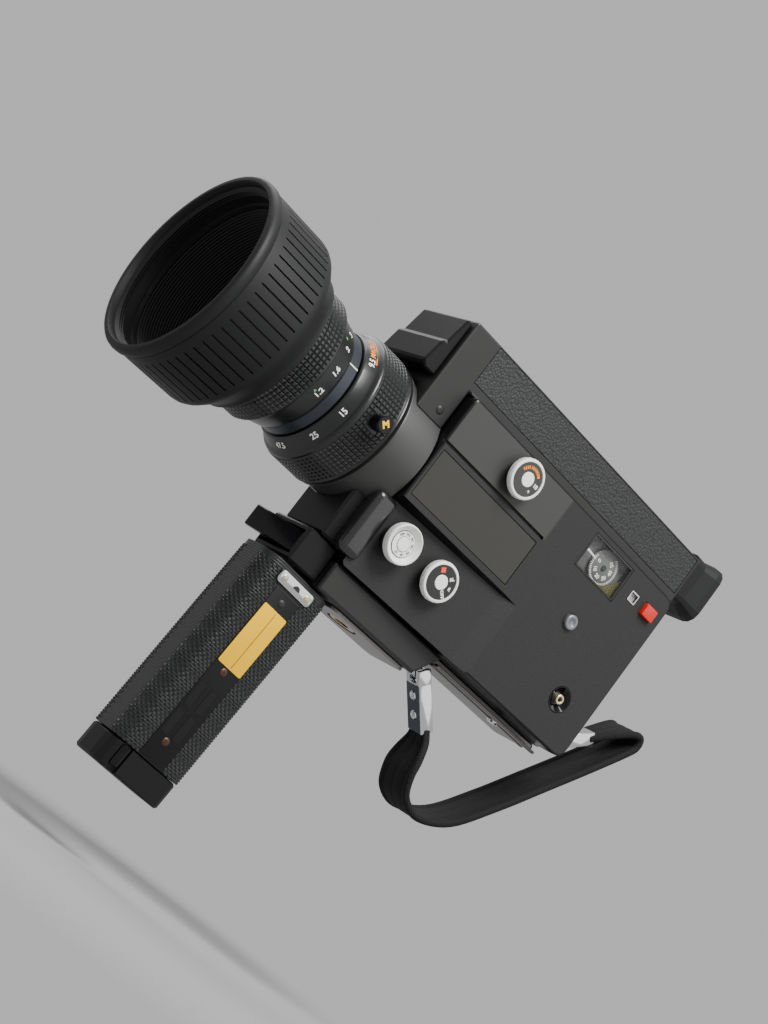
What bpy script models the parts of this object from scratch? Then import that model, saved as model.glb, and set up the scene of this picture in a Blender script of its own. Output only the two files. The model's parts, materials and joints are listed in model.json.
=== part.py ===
"""Super 8 cine camera with a zoom lens, a pistol grip and a wrist strap.

Sizes are in millimetres in the lens frame: X runs back along the optical axis, Y towards the film
door on the right, Z up, and zero is on the optical axis. The empty named lens_axis carries that
frame to the part's own origin, on the underside of the base plate.
"""

import math

import bmesh
import bpy
from mathutils import Vector

MM = 0.001
GAP = 0.3  # between parts that touch

# The body, from its driving dimensions.
BODY_FRONT = -10.2
BODY_REAR = 123.2
BODY_TOP = 33.2
BODY_BOTTOM = -44.5
LEFT_FACE = -28.0
COVER_SEAM = -13.8
CASTING_LEFT = -13.5
CASTING_RIGHT = 13.8
DOOR_FACE = 20.0
DOOR_PIN = (125.2, 19.4)  # (x, y) of the upright pin that the film door turns on
WALL = 2.2
MIDDLE = -4.5  # the grip, base and finder are centred here, between the two sides

# The finder housing along the top.
FINDER_FRONT = -25.5
FINDER_REAR = 127.0
FINDER_LEFT = -22.0
FINDER_RIGHT = 14.0
FINDER_BASE = 33.6
FINDER_TOP = 55.0
FINDER_CHIN = 15.9  # where the housing's front end meets the lens barrel
FINDER_AXIS = 45.5

# The lens, measured along and out from its axis.
BARREL_RADIUS = 27.2
ZOOM_RADIUS = 28.7
FOCUS_RADIUS = 28.2
HOOD_RADIUS = 39.0
HOOD_FRONT = -120.0

# Under the body.
BASE_TOP = -44.9
BASE_BOTTOM = -56.9
BASE_LEFT = -20.5
BASE_RIGHT = 11.0
PLATE_BOTTOM = -58.4
ORIGIN = (34.0, MIDDLE, PLATE_BOTTOM)  # the middle of the plain stretch of the base plate

# The grip, in a frame of its own at the middle of its top.
GRIP_TOP = (-15.8, -5.0, -57.4)
GRIP_LEAN = math.radians(2.7)
GRIP_LONG = 16.75  # half the size along X
GRIP_WIDE = 12.5  # half the size along Y
GRIP_JOINT = -84.0
GRIP_END = -95.3

# The controls on the left side: (x, z) of each centre.
SPEED_DIAL = (25.8, 23.7)
FILM_DIAL = (2.0, -25.3)
RUN_DIAL = (25.0, -26.0)
DIAL_RADIUS = 8.0
COUNTER = (85.8, 23.0)
ROUND_BUTTON = (86.0, -2.2)
JACK = (104.8, -27.0)
SPINDLE = (68.0, -5.0)
DOOR_LATCH = (6.0, -22.0)
SHUTTER_AXIS = (2.2, -9.0)  # (y, z)
MOTOR_AXIS = (2.2, -26.5)
GEAR_TEETH, PINION_TEETH = 34, 14
AXES_APART = SHUTTER_AXIS[1] - MOTOR_AXIS[1]
GEAR_PITCH = AXES_APART * GEAR_TEETH / (GEAR_TEETH + PINION_TEETH)
PINION_PITCH = AXES_APART - GEAR_PITCH

MATERIALS = {
    "satin_black": ((0.022, 0.023, 0.024), 0.42, 0.0),
    "textured_black": ((0.03, 0.031, 0.032), 0.55, 0.0),
    "gloss_black": ((0.01, 0.01, 0.012), 0.12, 0.0),
    "lens_black": ((0.015, 0.016, 0.018), 0.3, 0.6),
    "rubber": ((0.03, 0.03, 0.031), 0.7, 0.0),
    "leatherette": ((0.035, 0.036, 0.037), 0.6, 0.0),
    "chrome": ((0.8, 0.8, 0.82), 0.12, 1.0),
    "steel": ((0.5, 0.5, 0.5), 0.35, 1.0),
    "brass": ((0.7, 0.5, 0.2), 0.3, 1.0),
    "dial_white": ((0.85, 0.85, 0.82), 0.3, 0.0),
    "cast_alloy": ((0.25, 0.25, 0.26), 0.5, 0.8),
    "glass": ((0.9, 0.92, 0.95), 0.03, 0.0),
    "nameplate": ((0.06, 0.06, 0.055), 0.35, 0.4),
    "label_yellow": ((0.75, 0.5, 0.03), 0.45, 0.0),
    "button_red": ((0.75, 0.05, 0.03), 0.35, 0.0),
    "button_grey": ((0.3, 0.3, 0.32), 0.4, 0.3),
    "circuit_green": ((0.03, 0.16, 0.06), 0.5, 0.0),
    "white_gear": ((0.8, 0.8, 0.75), 0.45, 0.0),
    "webbing": ((0.02, 0.02, 0.02), 0.85, 0.0),
}


def clear_scene():
    for obj in list(bpy.data.objects):
        bpy.data.objects.remove(obj, do_unlink=True)


def material(name):
    if name in bpy.data.materials:
        return bpy.data.materials[name]
    colour, roughness, metallic = MATERIALS[name]
    made = bpy.data.materials.new(name)
    made.use_nodes = True
    shader = made.node_tree.nodes["Principled BSDF"]
    shader.inputs["Base Color"].default_value = (*colour, 1.0)
    shader.inputs["Roughness"].default_value = roughness
    shader.inputs["Metallic"].default_value = metallic
    made.diffuse_color = (*colour, 1.0)
    return made


def empty(name, place, lean=0.0, parent=None):
    made = bpy.data.objects.new(name, None)
    made.location = Vector(place) * MM
    made.rotation_euler = (0.0, lean, 0.0)
    made.parent = parent
    bpy.context.collection.objects.link(made)
    return made


def finished(name, shape, finish, parent):
    """An object from a bmesh in millimetres. A cutter has no finish: it is only drawn as wire."""
    bmesh.ops.remove_doubles(shape, verts=shape.verts, dist=1e-5)
    bmesh.ops.recalc_face_normals(shape, faces=shape.faces)
    bmesh.ops.scale(shape, vec=(MM, MM, MM), verts=shape.verts)
    mesh = bpy.data.meshes.new(name)
    shape.to_mesh(mesh)
    shape.free()
    made = bpy.data.objects.new(name, mesh)
    made.parent = parent
    bpy.context.collection.objects.link(made)
    if finish:
        mesh.materials.append(material(finish))
    else:
        made.hide_render = True
        made.display_type = "WIRE"
    return made


def at(axis, along, a, b):
    """The point at (a, b) of the plane across an axis, and so far along it."""
    return {"X": (along, a, b), "Y": (a, along, b), "Z": (a, b, along)}[axis]


def prism(name, outline, axis, low, high, finish=None, parent=None):
    """An outline pushed along an axis, from low to high."""
    shape = bmesh.new()
    rings = [[shape.verts.new(at(axis, end, a, b)) for a, b in outline] for end in (low, high)]
    for ring in rings:
        shape.faces.new(ring)
    count = len(outline)
    for i in range(count):
        j = (i + 1) % count
        shape.faces.new((rings[0][i], rings[0][j], rings[1][j], rings[1][i]))
    return finished(name, shape, finish, parent or LENS)


def rounded(a_low, a_high, b_low, b_high, radius=0.0, steps=3, rear_radius=None):
    """A rectangle's outline with round corners; those at the high end of a may differ."""
    far = radius if rear_radius is None else rear_radius
    corners = [
        (a_high - far, b_high - far, far, 0),
        (a_low + radius, b_high - radius, radius, 90),
        (a_low + radius, b_low + radius, radius, 180),
        (a_high - far, b_low + far, far, 270),
    ]
    points = []
    for a, b, size, start in corners:
        for k in range(steps + 1 if size else 1):
            angle = math.radians(start + 90 * k / steps)
            points.append((a + size * math.cos(angle), b + size * math.sin(angle)))
    return points


def block(name, x, y, z, finish=None, parent=None, radius=0.0, axis="Z", steps=3):
    """A box between (low, high) pairs, with its edges along one axis rounded."""
    spans = {"X": (y, z, x), "Y": (x, z, y), "Z": (x, y, z)}[axis]
    outline = rounded(*spans[0], *spans[1], radius, steps)
    return prism(name, outline, axis, *spans[2], finish, parent)


def turned(name, profile, axis, centre, finish=None, parent=None, steps=28):
    """A closed profile of (along, radius) points turned round an axis through the centre (a, b)."""
    shape = bmesh.new()
    ring = [shape.verts.new(at(axis, along, radius, 0)) for along, radius in profile]
    edges = [shape.edges.new((ring[i], ring[(i + 1) % len(ring)])) for i in range(len(ring))]
    bmesh.ops.spin(
        shape,
        geom=ring + edges,
        cent=(0, 0, 0),
        axis=at(axis, 1, 0, 0),
        angle=2 * math.pi,
        steps=steps,
        use_merge=True,
    )
    bmesh.ops.remove_doubles(shape, verts=shape.verts, dist=1e-4)
    bmesh.ops.dissolve_degenerate(shape, edges=shape.edges, dist=1e-4)
    loose = [edge for edge in shape.edges if not edge.link_faces]
    bmesh.ops.delete(shape, geom=loose, context="EDGES")
    bmesh.ops.translate(shape, vec=at(axis, 0, *centre), verts=shape.verts)
    made = finished(name, shape, finish, parent or LENS)
    made.data.shade_smooth()
    made.data.set_sharp_from_angle(angle=math.radians(30))
    return made


def rod(name, low, high, radius, axis, centre, finish=None, parent=None, steps=24):
    profile = [(low, 0), (low, radius), (high, radius), (high, 0)]
    return turned(name, profile, axis, centre, finish, parent, steps)


def tube(name, low, high, inner, outer, axis, centre, finish=None, parent=None, steps=28):
    profile = [(low, inner), (low, outer), (high, outer), (high, inner)]
    return turned(name, profile, axis, centre, finish, parent, steps)


def lens_element(name, middle, radius, thickness, bulge, finish="glass", parent=None):
    """A glass element on the optical axis, its front curved out and its back nearly flat."""
    arc = 4
    front = [
        (middle - thickness / 2 + bulge * (i / arc) ** 2, radius * i / arc) for i in range(arc + 1)
    ]
    back = [(middle + thickness / 2 + bulge, radius), (middle + thickness / 2 + bulge, 0)]
    return turned(name, front + back, "X", (0, 0), finish, parent)


def cut(target, *cutters):
    for cutter in cutters:
        modifier = target.modifiers.new("cut", "BOOLEAN")
        modifier.operation = "DIFFERENCE"
        modifier.object = cutter
    return target


def joined(target, *others):
    for other in others:
        modifier = target.modifiers.new("join", "BOOLEAN")
        modifier.operation = "UNION"
        modifier.object = other
    return target


def bevelled(target, width, segments=1):
    modifier = target.modifiers.new("edges", "BEVEL")
    modifier.width = width * MM
    modifier.segments = segments
    modifier.limit_method = "ANGLE"
    modifier.angle_limit = math.radians(40)
    return target


def toothed(name, low, high, pitch, teeth, axis, centre, bore, finish=None, turn=0.0):
    """A spur gear of this pitch radius, its teeth cut narrow so that a pair turns freely."""
    root, tip = pitch - 0.7, pitch + 0.55
    shape = bmesh.new()
    outer = []
    for i in range(teeth):
        for share, radius in ((0.3, root), (0.42, tip), (0.58, tip), (0.7, root)):
            angle = 2 * math.pi * (i + share + turn) / teeth
            outer.append((radius * math.cos(angle), radius * math.sin(angle)))
    inner = [
        (bore * math.cos(2 * math.pi * i / len(outer)), bore * math.sin(2 * math.pi * i / len(outer)))
        for i in range(len(outer))
    ]
    rings = []
    for points in (outer, inner):
        for end in (low, high):
            rings.append([shape.verts.new(at(axis, end, a, b)) for a, b in points])
    outer_low, outer_high, inner_low, inner_high = rings
    for i in range(len(outer)):
        j = (i + 1) % len(outer)
        shape.faces.new((outer_low[i], outer_low[j], outer_high[j], outer_high[i]))
        shape.faces.new((inner_low[i], inner_low[j], inner_high[j], inner_high[i]))
        shape.faces.new((outer_low[i], outer_low[j], inner_low[j], inner_low[i]))
        shape.faces.new((outer_high[i], outer_high[j], inner_high[j], inner_high[i]))
    bmesh.ops.translate(shape, vec=at(axis, 0, *centre), verts=shape.verts)
    return finished(name, shape, finish, LENS)


# ---------------------------------------------------------------- body


def side_cover():
    """The moulded left cover: a shell with a ramp let into its lower front for two of the dials."""
    outline = rounded(BODY_FRONT, BODY_REAR, BODY_BOTTOM, BODY_TOP, 2.0, 3, rear_radius=4.5)
    cover = prism("side_cover", outline, "Y", LEFT_FACE, COVER_SEAM, "textured_black")
    bevelled(cover, 0.9, 2)
    ramp_back = 52.0
    cutters = [
        block("cover_hollow", (-7.8, 120.8), (-25.6, -13), (-9.0, 30.8)),
        block("cover_hollow_rear", (62, 120.8), (-25.6, -13), (-42.1, -8)),
        block("cover_hollow_front", (-7.8, 63), (-20.0, -13), (-42.1, -8)),
        ramp_cutter(ramp_back),
        block("nameplate_seat", (-8.2, 50.4), (-29, -27.0), (-9.7, 10.6)),
        block("panel_groove", (-11, 51.6), (-29, -26.6), (12.7, 13.9)),
        block("counter_hole", (70.8, 96.6), (-29, -25), (14.9, 30.7)),
        block("lamp_hole", (101.8, 106.8), (-29, -25), (20.2, 24.8)),
        block("red_button_hole", (110.9, 118.1), (-29, -25), (19.5, 25.3)),
        rod("round_button_hole", -29, -25, 3.4, "Y", ROUND_BUTTON),
        rod("jack_hole", -29, -25, 5.5, "Y", JACK, steps=32),
        rod("speed_dial_hole", -29, -25, 2.5, "Y", SPEED_DIAL),
        rod("film_dial_hole", -26, -19, 2.5, "Y", FILM_DIAL),
        rod("run_dial_hole", -27, -19, 2.5, "Y", RUN_DIAL),
    ]
    return cut(cover, *cutters)


def ramp_cutter(ramp_back):
    """The space above the ramp: 5.7 deep at the front, running out behind the dials."""
    stations = [(-12, -22.3, -14.4), (ramp_back, -26.1, -13.2), (ramp_back + 9, -28.1, -12.4)]
    shape = bmesh.new()
    rings = []
    for x, floor, foot in stations:
        points = [(-29, -11.6), (floor, foot), (floor, -48), (-29, -48)]
        rings.append([shape.verts.new((x, y, z)) for y, z in points])
    shape.faces.new(rings[0])
    shape.faces.new(rings[-1])
    for front, back in zip(rings, rings[1:]):
        for i in range(4):
            j = (i + 1) % 4
            shape.faces.new((front[i], front[j], back[j], back[i]))
    return finished("cover_ramp", shape, None, LENS)


def film_casting():
    """The die-cast right half: film chamber behind, shutter and motor room in front."""
    casting = block(
        "film_casting",
        (BODY_FRONT, BODY_REAR),
        (CASTING_LEFT, CASTING_RIGHT),
        (BODY_BOTTOM, BODY_TOP),
        "cast_alloy",
        radius=2.0,
        axis="Y",
    )
    return cut(
        casting,
        block("chamber", (30.2, 121.2), (-11.4, 15), (-42.3, 31.0)),
        block("shutter_room", (-8.0, 28.0), (-11.4, 15), (-42.3, 31.0)),
        rod("lens_hole", -12, -7, 12.0, "X", (0, 0)),
        block("gate_hole", (27, 31), (-4, 4), (-3.5, 3.5)),
        rod("spindle_hole", -15, -10, 2.5, "Y", SPINDLE),
        rod("shaft_hole", 27, 31, 2.1, "X", SHUTTER_AXIS),
    )


def finder_housing():
    """The long housing on top, whose deep front end comes down to the lens barrel."""
    outline = [
        (FINDER_FRONT, FINDER_CHIN),
        (BODY_FRONT - GAP - 0.1, FINDER_CHIN),
        (BODY_FRONT - GAP - 0.1, FINDER_BASE),
        (FINDER_REAR, FINDER_BASE),
        (FINDER_REAR, FINDER_TOP),
        (FINDER_FRONT, FINDER_TOP),
    ]
    housing = prism("finder_housing", outline, "Y", FINDER_LEFT, FINDER_RIGHT, "satin_black")
    bevelled(housing, 0.9, 2)
    inside = (FINDER_LEFT + WALL, FINDER_RIGHT - WALL)
    return cut(
        housing,
        block("finder_hollow", (FINDER_FRONT + WALL, FINDER_REAR - WALL), inside, (36.0, 52.8)),
        block("finder_mouth", (0, 118), inside, (32, 37)),
        block("finder_chin_hollow", (FINDER_FRONT + WALL, -12.8), inside, (20, 37)),
        rod("barrel_space", -27, -9, BARREL_RADIUS + 0.4, "X", (0, 0), steps=36),
        rod("eyepiece_hole", 120, 130, 7.4, "X", (MIDDLE, FINDER_AXIS), steps=32),
        rod("finder_port", -27, -20, 6.0, "X", (MIDDLE, FINDER_AXIS), steps=24),
        block("left_panel_seat", (-11.6, 125.4), (-23, FINDER_LEFT + 0.8), (37.6, 54.3)),
        block("right_panel_seat", (-11.6, 125.4), (FINDER_RIGHT - 0.8, 15), (37.6, 54.3)),
        rod("front_screw_seat", -23, FINDER_LEFT + 0.9, 1.7, "Y", (-16.1, 21.2), steps=16),
    )


def finder_panels():
    """The two leatherette panels set into the finder housing's sides."""
    spans = {
        "left_leather_panel": (FINDER_LEFT + 0.05, FINDER_LEFT + 0.5),
        "right_leather_panel": (FINDER_RIGHT - 0.5, FINDER_RIGHT - 0.05),
    }
    for name, span in spans.items():
        block(name, (-11.3, 125.1), span, (37.9, 54.0), "leatherette", radius=0.6, axis="Y")


def nameplate_block():
    """The sloped block on the housing's front, in two steps, which closes the front of the finder."""
    outline = [(-25.8, 53.4), (-28.3, 53.4), (-30.2, 41.6), (-31.9, 41.0), (-33.4, 31.0), (-31.4, 29.0), (-25.8, 29.0)]
    return bevelled(prism("front_nameplate", outline, "Y", -20.0, 10.5, "satin_black"), 0.7)


def lower_front_housing():
    """The block under the lens, hollowed to the barrel's curve, which carries the trigger block."""
    made = block("lower_front_housing", (-22, -10.7), (-18.5, 9), (-40.8, -17), "satin_black")
    bevelled(made, 1.0)
    return cut(made, rod("cradle", -24, -9, BARREL_RADIUS + 0.4, "X", (0, 0), steps=36))


def trigger_block():
    made = block("trigger_block", (-26, -10.8), (-17.5, 9), (-55.5, -41.2), "satin_black")
    bevelled(made, 0.8)
    return cut(made, block("trigger_pocket", (-27, -19.2), (-15.7, 7.6), (-53.5, -43.1)))


def base_housing():
    """The box under the side cover, with the tripod bush in its floor."""
    outline = [(-10.4, BASE_TOP), (-10.4, BASE_BOTTOM), (46.1, BASE_BOTTOM), (53.7, BASE_TOP)]
    made = prism("base_housing", outline, "Y", BASE_LEFT, BASE_RIGHT, "satin_black")
    bevelled(made, 1.2, 2)
    return cut(
        made,
        block("base_hollow", (-8, 45), (BASE_LEFT + WALL, BASE_RIGHT - WALL), (-54.7, -44)),
        rod("bush_hole", -58, -53, 6.0, "Z", (18, MIDDLE)),
    )


def base_plate():
    made = block("base_plate", (2.2, 45), (-17, 8), (PLATE_BOTTOM, BASE_BOTTOM - GAP), "steel", radius=3.0)
    return cut(made, rod("plate_hole", -60, -56, 6.6, "Z", (18, MIDDLE)))


def tripod_bush():
    """The threaded socket, plain here, at the minor size of a quarter-inch screw."""
    return tube("tripod_bush", PLATE_BOTTOM + 0.2, -50, 3.2, 5.6, "Z", (18, MIDDLE), "brass", steps=24)


def bottom_cover():
    made = block("bottom_cover", (54.4, 121.5), (-13.2, 12.6), (-47.4, -44.8), "steel", radius=2.0)
    return bevelled(made, 0.6)


# ---------------------------------------------------------------- film door


def film_door():
    outline = rounded(-9.7, BODY_REAR - 0.3, BODY_BOTTOM + 0.2, BODY_TOP - 0.2, 2.0, 3, rear_radius=4.5)
    door = prism("film_door", outline, "Y", CASTING_RIGHT + GAP, DOOR_FACE, "textured_black")
    bevelled(door, 1.2, 2)
    return cut(
        door,
        block("door_hollow", (-6, 119), (13, 17.6), (-41, 30)),
        block("door_window_hole", (58, 74), (17, 21), (-2, 18)),
    )


def door_window():
    return block("door_window", (58.3, 73.7), (17.9, 19.6), (-1.7, 17.7), "glass", radius=1.0, axis="Y")


def door_hinge():
    """The hinge leaf on the casting's rear, with its knuckle outside the door's edge."""
    x, y = DOOR_PIN
    outline = [(x, 11.0), (BODY_REAR + GAP, 11.0), (BODY_REAR + GAP, 17.6)]
    for k in range(8):
        angle = math.radians(200 - 230 * k / 7)
        outline.append((x + 1.5 * math.cos(angle), y + 1.5 * math.sin(angle)))
    return prism("door_hinge", outline, "Z", -20, 28, "steel")


def door_latch():
    profile = [(20.3, 0), (20.3, 7.2), (22.6, 7.0), (23.0, 6.4), (23.0, 0)]
    x, z = DOOR_LATCH
    made = turned("door_latch", profile, "Y", DOOR_LATCH, "gloss_black", steps=28)
    grooves = [
        block("latch_groove_front", (x - 8, x - 2.4), (21.4, 24), (z - 8, z + 8)),
        block("latch_groove_rear", (x + 2.4, x + 8), (21.4, 24), (z - 8, z + 8)),
    ]
    return cut(made, *grooves)


# ---------------------------------------------------------------- lens


def hood():
    """The rubber hood: a wide cup whose inside narrows to the lens."""
    profile = [
        (HOOD_FRONT, 36.0),
        (HOOD_FRONT, 38.2),
        (HOOD_FRONT + 0.8, HOOD_RADIUS),
        (-116.6, HOOD_RADIUS),
        (-115.8, 38.2),
        (-89.0, 37.8),
        (-87.0, 37.0),
        (-80.6, 31.4),
        (-77.9, 30.6),
        (-77.9, 26.2),
        (-81.5, 26.2),
        (-112.5, 34.2),
        (-116.0, 34.8),
        (-116.4, 35.6),
    ]
    return turned("lens_hood", profile, "X", (0, 0), "rubber", steps=36)


def focus_ring():
    """The knurled focus ring and, behind it, the sleeve that carries the distance scale."""
    profile = [
        (-77.5, 25.2),
        (-77.5, 27.8),
        (-77.1, FOCUS_RADIUS),
        (-67.0, FOCUS_RADIUS),
        (-66.2, 26.4),
        (-58.6, 24.4),
        (-57.8, 23.9),
        (-57.8, 20.6),
        (-68.0, 20.6),
        (-68.0, 25.2),
    ]
    return turned("focus_ring", profile, "X", (0, 0), "lens_black", steps=36)


def front_cell():
    """The front lens cell inside the focus ring."""
    profile = [(-80.5, 24.0), (-80.5, 24.8), (-68.4, 24.8), (-68.4, 18.0), (-69.6, 18.0), (-69.6, 22.0), (-75.0, 22.0)]
    return turned("front_cell", profile, "X", (0, 0), "lens_black", steps=28)


def index_barrel():
    """The fixed barrel that carries the index line, inside the focus and zoom rings."""
    profile = [
        (-67.0, 18.6),
        (-67.0, 20.2),
        (-57.3, 20.2),
        (-57.3, 23.6),
        (-52.6, 23.6),
        (-52.6, 20.6),
        (-30.0, 20.6),
        (-30.0, 24.0),
        (-29.2, 24.0),
        (-29.2, 18.6),
    ]
    return turned("index_barrel", profile, "X", (0, 0), "lens_black", steps=32)


def zoom_ring():
    profile = [
        (-52.2, 21.0),
        (-52.2, 24.6),
        (-51.4, 25.2),
        (-46.6, 26.6),
        (-45.2, 28.2),
        (-44.6, ZOOM_RADIUS),
        (-30.8, ZOOM_RADIUS),
        (-30.4, 28.2),
        (-30.4, 21.0),
    ]
    ring = turned("zoom_ring", profile, "X", (0, 0), "lens_black", steps=36)
    return cut(ring, rod("knob_hole", -35, -20, 2.2, "Y", (-37.4, 0.4), steps=16))


def macro_knob():
    """The macro release: a round button that stands out of the zoom ring and is pulled to unlock."""
    profile = [(-24.6, 0), (-24.6, 1.8), (-29.0, 1.8), (-29.0, 3.5), (-33.0, 3.5), (-33.5, 3.0), (-33.5, 0)]
    return turned("macro_knob", profile, "Y", (-37.4, 0.4), "gloss_black", steps=24)


def lens_barrel():
    """The base barrel between the zoom ring and the body."""
    profile = [
        (-28.8, 19.0),
        (-28.8, 26.2),
        (-27.6, BARREL_RADIUS),
        (-10.7, BARREL_RADIUS),
        (-10.7, 14.0),
        (-13.0, 14.0),
        (-13.0, 19.0),
    ]
    return turned("lens_barrel", profile, "X", (0, 0), "lens_black", steps=36)


def inner_optics():
    """The glass group that slides inside the index barrel, and the tube behind it."""
    tube("variator_cell", -56.0, -45.0, 14.2, 18.2, "X", (0, 0), "cast_alloy")
    lens_element("variator_lens", -51.0, 13.9, 3.0, 1.2)
    profile = [(-12.6, 8.2), (-12.6, 13.0), (-11.6, 13.0), (-11.6, 10.2), (19.6, 10.2), (19.6, 8.2)]
    turned("relay_tube", profile, "X", (0, 0), "cast_alloy", steps=32)


# ---------------------------------------------------------------- drive


def drive():
    """The motor, the shutter that it drives, and the spindle that winds the film on."""
    rod("drive_motor", -6.0, 19.5, 9.6, "X", MOTOR_AXIS, "steel", steps=28)
    joined(
        toothed("motor_pinion", 21, 24, PINION_PITCH, PINION_TEETH, "X", MOTOR_AXIS, 0.9, "brass", 0.5),
        rod("motor_shaft", 19.9, 24.6, 1.2, "X", MOTOR_AXIS, steps=12),
    )
    joined(
        toothed("shutter", 21, 24, GEAR_PITCH, GEAR_TEETH, "X", SHUTTER_AXIS, 1.2, "white_gear"),
        rod("shutter_shaft", 20.4, 29.6, 1.6, "X", SHUTTER_AXIS, steps=12),
        shutter_disc(),
    )
    profile = [(-17.8, 0), (-17.8, 2.1), (-10.9, 2.1), (-10.9, 4.4), (-4.0, 3.8), (-2.6, 2.4), (-2.6, 0)]
    joined(
        turned("takeup_spindle", profile, "Y", SPINDLE, "white_gear", steps=20),
        toothed("spindle_gear", -17.4, -15.4, 13.0, 24, "Y", SPINDLE, 1.6),
    )


def shutter_disc():
    """The rotary shutter: a disc with an open sector that lets the light through."""
    y, z = SHUTTER_AXIS
    first, closed_arc = math.radians(15), math.radians(210)
    outline = []
    for k in range(25):
        angle = first + closed_arc * k / 24
        outline.append((y + 12.0 * math.cos(angle), z + 12.0 * math.sin(angle)))
    for k in range(13):
        angle = first + closed_arc + (2 * math.pi - closed_arc) * k / 12
        outline.append((y + 4.0 * math.cos(angle), z + 4.0 * math.sin(angle)))
    return prism("shutter_blade", outline, "X", 25.2, 25.9)


def gate_plate():
    made = block("gate_plate", (30.5, 31.5), (-10, 12), (-30, 22), "steel", radius=2.0, axis="X")
    return cut(made, block("aperture", (30, 32), (-2.9, 2.9), (-2.1, 2.1)))


def circuit_board():
    return block("circuit_board", (64, 118), (-20.5, -19.0), (-38, 8), "circuit_green")


# ---------------------------------------------------------------- finder


def finder_optics():
    centre = (MIDDLE, FINDER_AXIS)
    tube("finder_tube", -20.0, 100.0, 5.0, 6.6, "X", centre, "cast_alloy", steps=20)
    rod("finder_front_lens", -19.0, -16.4, 4.7, "X", centre, "glass", steps=20)
    tube("eyepiece_tube", 101.0, 136.5, 5.7, 6.9, "X", centre, "satin_black", steps=24)
    rod("eyepiece_lens", 131.0, 134.0, 5.4, "X", centre, "glass", steps=20)


def eyecup():
    """The rubber eyecup, flared at its open end."""
    shape = bmesh.new()
    stations = [(127.4, 15.6, 10.6, 3.0), (133.0, 15.6, 10.6, 3.5), (139.5, 17.2, 12.6, 5.0), (142.5, 17.4, 13.0, 5.5)]
    rings = []
    for x, wide, tall, radius in stations:
        outline = rounded(MIDDLE - wide, MIDDLE + wide, 46.8 - tall, 46.8 + tall, radius, 3)
        rings.append([shape.verts.new((x, y, z)) for y, z in outline])
    shape.faces.new(rings[0])
    shape.faces.new(rings[-1])
    for front, back in zip(rings, rings[1:]):
        for i in range(len(front)):
            j = (i + 1) % len(front)
            shape.faces.new((front[i], front[j], back[j], back[i]))
    made = finished("eyecup", shape, "rubber", LENS)
    mouth = rounded(MIDDLE - 14.6, MIDDLE + 14.6, 36.8, 56.8, 4.5, 3)
    return cut(
        made,
        rod("eyecup_bore", 126, 144, 7.4, "X", (MIDDLE, FINDER_AXIS), steps=28),
        prism("eyecup_mouth", mouth, "X", 137.0, 144.0),
    )


# ---------------------------------------------------------------- controls


def speed_dial():
    profile = [(-33.4, 0), (-33.4, 7.6), (-33.0, DIAL_RADIUS), (-28.4, DIAL_RADIUS), (-28.4, 2.1), (-22, 2.1), (-22, 0)]
    return turned("speed_dial", profile, "Y", SPEED_DIAL, "dial_white", steps=28)


def film_speed_dial():
    """The outer cup of the film-speed control, with its own hub inside."""
    profile = [
        (-25.6, 0), (-25.6, 6.0), (-30.0, 7.0), (-30.4, 7.4), (-30.0, 7.8),
        (-23.9, 7.8), (-23.9, 2.1), (-18, 2.1), (-18, 0),
    ]
    return turned("film_speed_dial", profile, "Y", FILM_DIAL, "dial_white", steps=28)


def run_dial():
    profile = [(-29.9, 0), (-29.9, 7.6), (-29.5, DIAL_RADIUS), (-25.2, DIAL_RADIUS), (-25.2, 2.1), (-18, 2.1), (-18, 0)]
    return turned("run_dial", profile, "Y", RUN_DIAL, "dial_white", steps=28)


def counter():
    block("counter_window", (71.1, 96.3), (-27.9, -27.0), (15.2, 30.4), "glass", axis="Y", radius=0.5)
    rod("counter_disc", -25.2, -24.4, 7.4, "Y", COUNTER, "satin_black", steps=28)


def buttons():
    block("lamp_window", (102.1, 106.5), (-28.2, -24.6), (20.5, 24.5), "glass", axis="Y", radius=0.6)
    red = block("red_button", (111.2, 117.8), (-30.0, -23.6), (19.8, 25.0), "button_red", axis="Y", radius=0.6)
    bevelled(red, 0.4)
    profile = [(-29.4, 0), (-29.4, 2.6), (-29.0, 3.1), (-23.6, 3.1), (-23.6, 0)]
    turned("round_button", profile, "Y", ROUND_BUTTON, "button_grey", steps=24)


def remote_jack():
    profile = [
        (-26.4, 1.1), (-28.2, 1.1), (-28.2, 2.2), (-26.8, 2.6), (-26.2, 4.2), (-27.9, 5.2),
        (-27.4, 5.2), (-22.0, 5.2), (-22.0, 0), (-26.4, 0),
    ]
    return turned("remote_jack", profile, "Y", JACK, "gloss_black", steps=28)


def nameplate():
    return block("nameplate", (-7.9, 50.1), (-27.9, -27.3), (-9.4, 10.3), "nameplate", axis="Y")


def trigger():
    """The trigger lever, which stands out at its right end and turns on an upright pin at its left."""
    hinge, tip = Vector((-23.6, -13.2)), Vector((-33.6, 8.6))
    along = (tip - hinge).normalized()
    across = Vector((along.y, -along.x))
    outline = []
    for k in range(9):
        angle = math.radians(180 * k / 8)
        outline.append(hinge + 2.0 * (across * math.cos(angle) - along * math.sin(angle)))
    outline += [tip - along * 1.0 - across * 1.5, tip - across * 0.9, tip + across * 0.9, tip - along * 1.0 + across * 1.5]
    made = prism("trigger", [tuple(point) for point in outline], "Z", -52.7, -43.9, "gloss_black")
    return bevelled(made, 0.5)


# ---------------------------------------------------------------- grip


def grip_outline(inset=0.0):
    size = {"radius": 8.0 - inset, "rear_radius": 5.0 - inset, "steps": 4}
    long, wide = GRIP_LONG - inset, GRIP_WIDE - inset
    return rounded(-long, long, -wide, wide, **size)


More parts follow.
